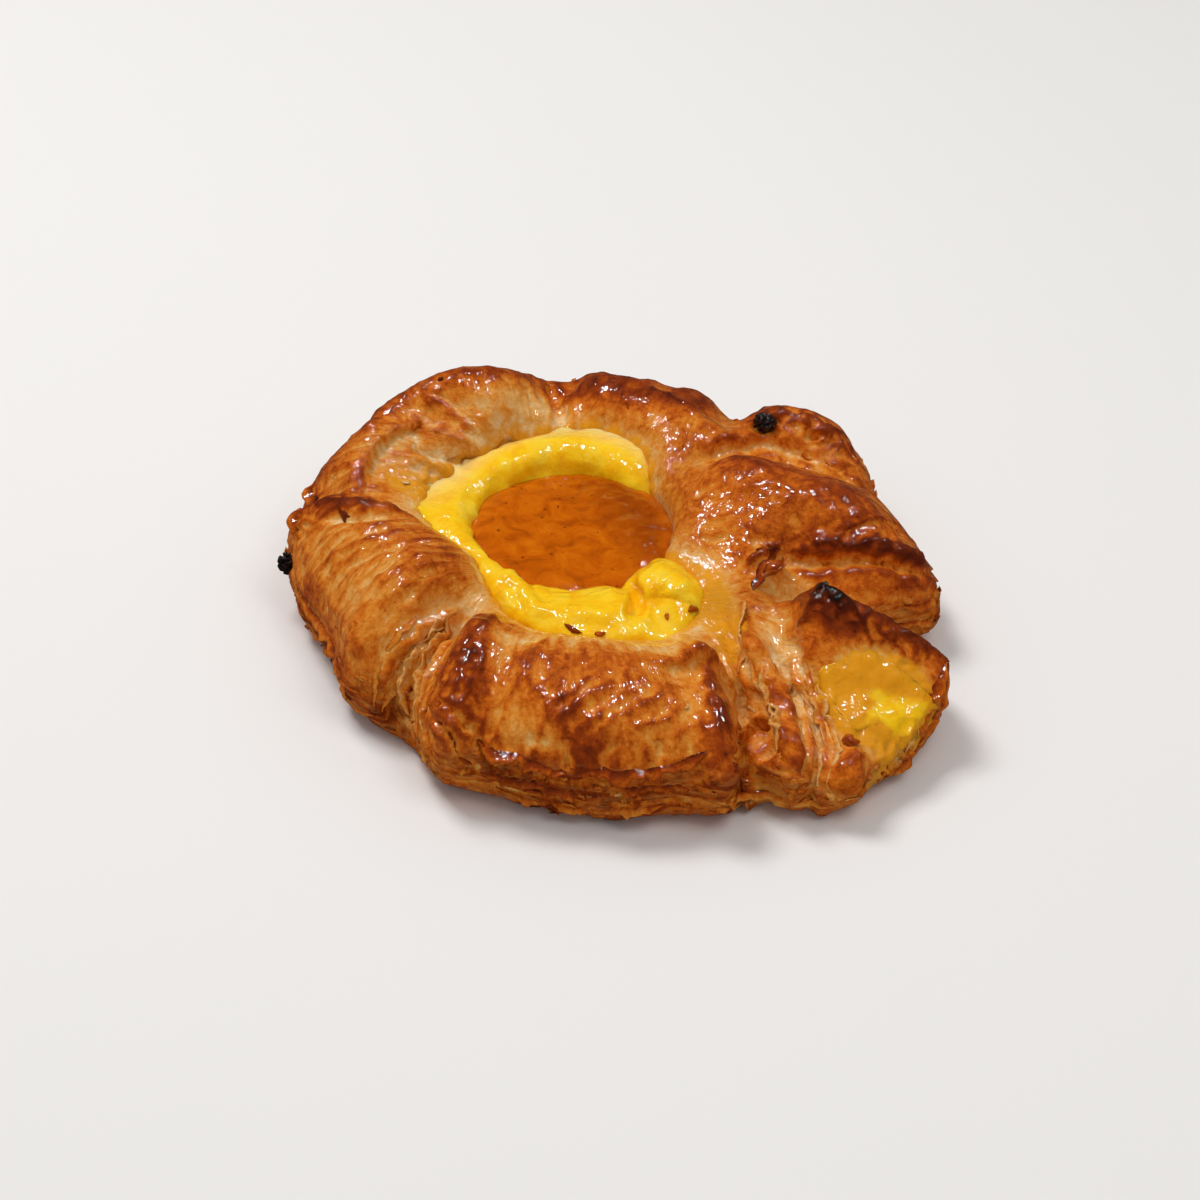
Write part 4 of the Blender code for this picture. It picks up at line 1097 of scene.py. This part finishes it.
class PASTRY_OT_leaves(bpy.types.Operator):
    """Lays torn leaves of dough along the flaky edges, flakes on the sides and crumbs on top"""

    bl_idname = "pastry.leaves"
    bl_label = "Leaves, flakes and crumbs"

    LEAF = 0.35  # mm, how thick a torn leaf is
    FLAKE = 0.12  # mm, how thick a flake is

    def execute(self, context):
        crust = bpy.data.objects["crust"]
        names = ("crust", "custard_filling", "custard_in_corner")
        self.trees = [tree_of(bpy.data.objects[name]) for name in names]
        material = crust.data.materials[0]
        leaves = [self.leaf(index, *row) for index, row in enumerate(LEAVES)]
        crumbs = [self.crumb(index, *row) for index, row in enumerate(CRUMBS)]
        for pieces, name in ((leaves, "flaky_leaves"), (crumbs, "crumbs_of_crust")):
            only(pieces[0])
            for piece in pieces:
                piece.select_set(True)
            bpy.ops.object.join()
            pieces[0].name = name
            finished(pieces[0], [], material)
        finished(self.flakes(Skin(crust), context.scene.pastry_sizes.flakes), [], material)
        return {"FINISHED"}

    def leaf(self, seed, brown, width, lift, corners):
        """A thin strip of dough with one edge in the crust and a ragged one that stands off it."""
        line = smooth_line(corners, step=0.45)
        spots = np.array([nearest(self.trees[0], place)[:2] for place in line])
        middle, normals = spots[:, 0], spots[:, 1]
        for _ in range(3):
            middle[1:-1] = (middle[:-2] + 2 * middle[1:-1] + middle[2:]) / 4
            normals[1:-1] = (normals[:-2] + 2 * normals[1:-1] + normals[2:]) / 4
        beyond = np.cross(np.gradient(middle, axis=0), normals)
        beyond /= np.maximum(np.linalg.norm(beyond, axis=1), 1e-6)[:, None]
        ends = faded(np.linspace(0, 1, len(line)), part=0.25)
        ragged = ends * (0.75 + 0.5 * noise_of(line, 3.5, 41 + seed) + 0.45 * noise_of(line, 1.1, 71 + seed))
        raised = ends * (0.8 + 0.7 * noise_of(line, 4, 51 + seed)) * lift
        across = 6
        bpy.ops.mesh.primitive_grid_add(x_subdivisions=across - 1, y_subdivisions=len(line) - 1)
        piece = bpy.context.object
        order = np.arange(len(line) * across)
        row, step = order // across, (order % across) / (across - 1)
        side = (step * 1.25 - 0.25) * width * ragged[row]
        rise = raised[row] * step**1.4 - 0.5 * (1 - step) ** 2 * ends[row]
        skin = Skin(piece)
        skin.points = middle[row] + beyond[row] * side[:, None] + normals[row] * rise[:, None]
        skin.write()
        applied(piece, "SOLIDIFY", thickness=self.LEAF * MM, offset=0)
        skin = Skin(piece)
        # painted shade: each leaf is darker along its fixed edge, where it leaves the crust
        root = np.tile(1 - step, len(skin.points) // len(step))
        skin.dress(brown + 0.08 * noise_of(skin.points, 3, 61) + 0.42 * root**2)
        return piece

    def crumb(self, seed, along, across, turn, brown, place):
        """A small irregular bit of crust, lying on the surface."""
        spot, normal, _ = min((nearest(tree, place) for tree in self.trees), key=lambda found: found[2])
        bpy.ops.mesh.primitive_ico_sphere_add(subdivisions=3, radius=MM)
        piece = bpy.context.object
        skin = Skin(piece)
        ball = skin.points + WELL
        turn = math.radians(turn)
        first = np.array([math.cos(turn), math.sin(turn), 0])
        first -= normal * (first @ normal)
        first /= np.linalg.norm(first)
        axes = np.array([first, np.cross(normal, first), normal])
        lumps = 1 + 0.7 * noise_of(ball, 0.9, 81 + seed)
        shape = ball * lumps[:, None] + 0.35 * noise_shift(ball, 0.6, 95 + seed)
        shape *= [along, across, 0.55 * across]
        skin.points = spot + (shape + [0, 0, 0.25 * across]) @ axes
        skin.write()
        skin.dress(np.full(len(ball), brown))
        return piece

    def flakes(self, crust, count):
        """Small scales of dough that stand off the layered sides, copied from one."""
        bpy.ops.mesh.primitive_grid_add(x_subdivisions=3, y_subdivisions=2)
        piece = bpy.context.object
        piece.name = "flakes_of_dough"
        applied(piece, "SOLIDIFY", thickness=self.FLAKE, offset=0)
        scale = read(piece.data.vertices, "co", 3)
        faces = np.array([list(face.vertices) for face in piece.data.polygons])
        random = np.random.default_rng(7)
        layers = read(crust.mesh.attributes["layers"].data, "value", 1)[:, 0]
        brown = read(crust.mesh.attributes["bake"].data, "value", 1)[:, 0]
        chance = (layers + 0.03) * (crust.points[:, 2] > 1.5) * (crust.points[:, 2] < 22)
        chance *= ease(28, 40, np.hypot(crust.points[:, 0], crust.points[:, 1]))
        chosen = random.choice(len(layers), count, replace=False, p=chance / chance.sum())
        shapes, tints = [], []
        for index in chosen:
            normal = crust.normals[index]
            along = np.cross([0.0, 0.0, 1.0], normal) + random.normal(0, 0.25, 3)
            along -= normal * (along @ normal)
            along /= np.linalg.norm(along)
            beyond = np.cross(along, normal) * random.choice([-1, 1])
            # from the smallest to the largest, in mm
            length, width, lift = random.uniform([0.6, 0.35, 0.15], [1.9, 0.9, 0.6])
            step = (scale[:, 1] + 1) / 2
            ragged = 1 + random.normal(0, 0.22, len(scale)) * step
            shapes.append(
                crust.points[index] + along * (scale[:, :1] * length * (1 - 0.35 * step * ragged)[:, None])
                + beyond * ((step - 0.25) * ragged * width * 1.6)[:, None]
                + normal * (lift * step**1.3 - 0.12 + scale[:, 2])[:, None]
            )
            tints.append(np.full(len(scale), brown[index] + random.uniform(-0.22, 0.1)))
        points = np.concatenate(shapes)
        starts = np.arange(count)[:, None, None] * len(scale)
        mesh = bpy.data.meshes.new(piece.name)
        mesh.from_pydata(((points + WELL) * MM).tolist(), [], (faces[None] + starts).reshape(-1, 4).tolist())
        piece.data = mesh
        Skin(piece).dress(np.concatenate(tints))
        return piece


class PASTRY_OT_raisins(bpy.types.Operator):
    """Makes the two raisins that show in the crust"""

    bl_idname = "pastry.raisins"
    bl_label = "Raisins"

    def execute(self, context):
        material = dried_fruit()
        for seed, node in enumerate(("raisin_back", "raisin_left")):
            piece = copied_node(node, node + "_wrinkled")
            remeshed(piece, voxel=0.22, rounds=6)
            skin = Skin(piece)
            folds = noise_of(skin.points, 1.1, 31 + seed)
            depth = 0.3 - 0.9 * np.exp(-((folds / 0.22) ** 2))
            skin.points += skin.normals * depth[:, None]
            skin.write()
            finished(piece, [node], material)
        return {"FINISHED"}


class PASTRY_OT_stage(bpy.types.Operator):
    """Sets up the floor, the soft lamps and the camera"""

    bl_idname = "pastry.stage"
    bl_label = "Stage"

    # Each line: name, place and size in metres, share of the power. The soft ones light the colours,
    # and the small ones are what the wet glaze mirrors.
    SOFT_LAMPS = (
        ("soft_lamp", (-0.38, 0.32, 0.95), (0.4, 0.4), 1.8),
        ("front_lamp", (0.3, -0.25, 0.75), (0.4, 0.4), 0.4),
    )
    SPARKLE_LAMPS = (
        ("sparkle_top", (0.0, 0.02, 0.8), (0.055, 0.03), 1.0),
        ("sparkle_left", (-0.36, 0.34, 0.62), (0.05, 0.03), 1.0),
        ("sparkle_right", (0.38, 0.27, 0.64), (0.04, 0.025), 0.7),
    )
    AIM = (0.00607, 0.00021)  # metres from the middle of the jam to where the camera looks

    def execute(self, context):
        stage = context.scene.pastry_stage
        nothing_selected()
        bpy.ops.mesh.primitive_plane_add(size=6)
        floor = context.object
        floor.name = "floor"
        floor.data.materials.append(matte_floor())
        floor.visible_glossy = False  # its reflection would veil the dark glaze
        for name, place, size, share in self.SOFT_LAMPS:
            lamp = self.lamp(name, place, size, stage.lamp * share)
            lamp.visible_glossy = False
        for name, place, size, share in self.SPARKLE_LAMPS:
            lamp = self.lamp(name, place, size, stage.sparkle * share)
            lamp.visible_diffuse = False
        self.room(context.scene, stage)
        self.camera(context.scene, stage)
        context.scene.view_settings.view_transform = "Standard"
        return {"FINISHED"}

    def lamp(self, name, place, size, power):
        """A rectangular lamp that faces the middle of the pastry."""
        bpy.ops.object.light_add(type="AREA", location=place)
        lamp = bpy.context.object
        lamp.name = name
        lamp.data.shape = "RECTANGLE"
        lamp.data.size, lamp.data.size_y = size
        lamp.data.energy = power
        lamp.rotation_euler = Vector(place).to_track_quat("Z", "Y").to_euler()
        return lamp

    def room(self, scene, stage):
        """Even light from all round, kept dim where the glaze would mirror it."""
        world = bpy.data.worlds.new("room")
        world.use_nodes = True
        tree = world.node_tree
        tree.nodes.clear()
        path = add(tree, "LightPath")
        strength = add(tree, "Mix", {2: stage.around, 3: 0.03}, {0: path.outputs["Is Glossy Ray"]},
                       data_type="FLOAT")
        background = add(tree, "Background", {"Color": (1.0, 0.99, 0.98, 1)},
                         {"Strength": strength.outputs[0]})
        add(tree, "OutputWorld", links={"Surface": background.outputs[0]})
        scene.world = world

    def camera(self, scene, stage):
        """An 85 mm lens, looking down over the front of the pastry."""
        target = Vector((WELL[0] * MM + self.AIM[0], WELL[1] * MM + self.AIM[1], 0))
        back = Vector((0, -math.cos(stage.elevation), math.sin(stage.elevation)))
        bpy.ops.object.camera_add(location=target + back * stage.distance)
        camera = bpy.context.object
        camera.data.lens = 85
        camera.data.sensor_width = 36
        camera.rotation_euler = back.to_track_quat("Z", "Y").to_euler()
        scene.camera = camera


class PASTRY_PT_panel(bpy.types.Panel):
    """Lists the pieces of the pastry"""

    bl_idname = "PASTRY_PT_panel"
    bl_label = "Danish pastry"
    bl_space_type = "VIEW_3D"
    bl_region_type = "UI"
    bl_category = "Pastry"

    def draw(self, context):
        for group in (context.scene.pastry_sizes, context.scene.pastry_colours, context.scene.pastry_stage):
            box = self.layout.box()
            for name in group.__annotations__:
                box.prop(group, name)
        for step in STEPS:
            self.layout.operator(step.bl_idname)


STEPS = (
    PASTRY_OT_dough,
    PASTRY_OT_custard,
    PASTRY_OT_jam,
    PASTRY_OT_leaves,
    PASTRY_OT_raisins,
    PASTRY_OT_stage,
)
GROUPS = {
    "pastry_sizes": PastrySizes,
    "pastry_colours": PastryColours,
    "pastry_stage": PastryStage,
}


def register():
    for group in GROUPS.values():
        bpy.utils.register_class(group)
    for name, group in GROUPS.items():
        setattr(bpy.types.Scene, name, bpy.props.PointerProperty(type=group))
    for step in STEPS:
        bpy.utils.register_class(step)
    bpy.utils.register_class(PASTRY_PT_panel)


def unregister():
    bpy.utils.unregister_class(PASTRY_PT_panel)
    for step in STEPS:
        bpy.utils.unregister_class(step)
    for name, group in GROUPS.items():
        delattr(bpy.types.Scene, name)
        bpy.utils.unregister_class(group)


def main():
    register()
    for step in STEPS:
        family, name = step.bl_idname.split(".")
        getattr(getattr(bpy.ops, family), name)()


if __name__ == "__main__":
    main()
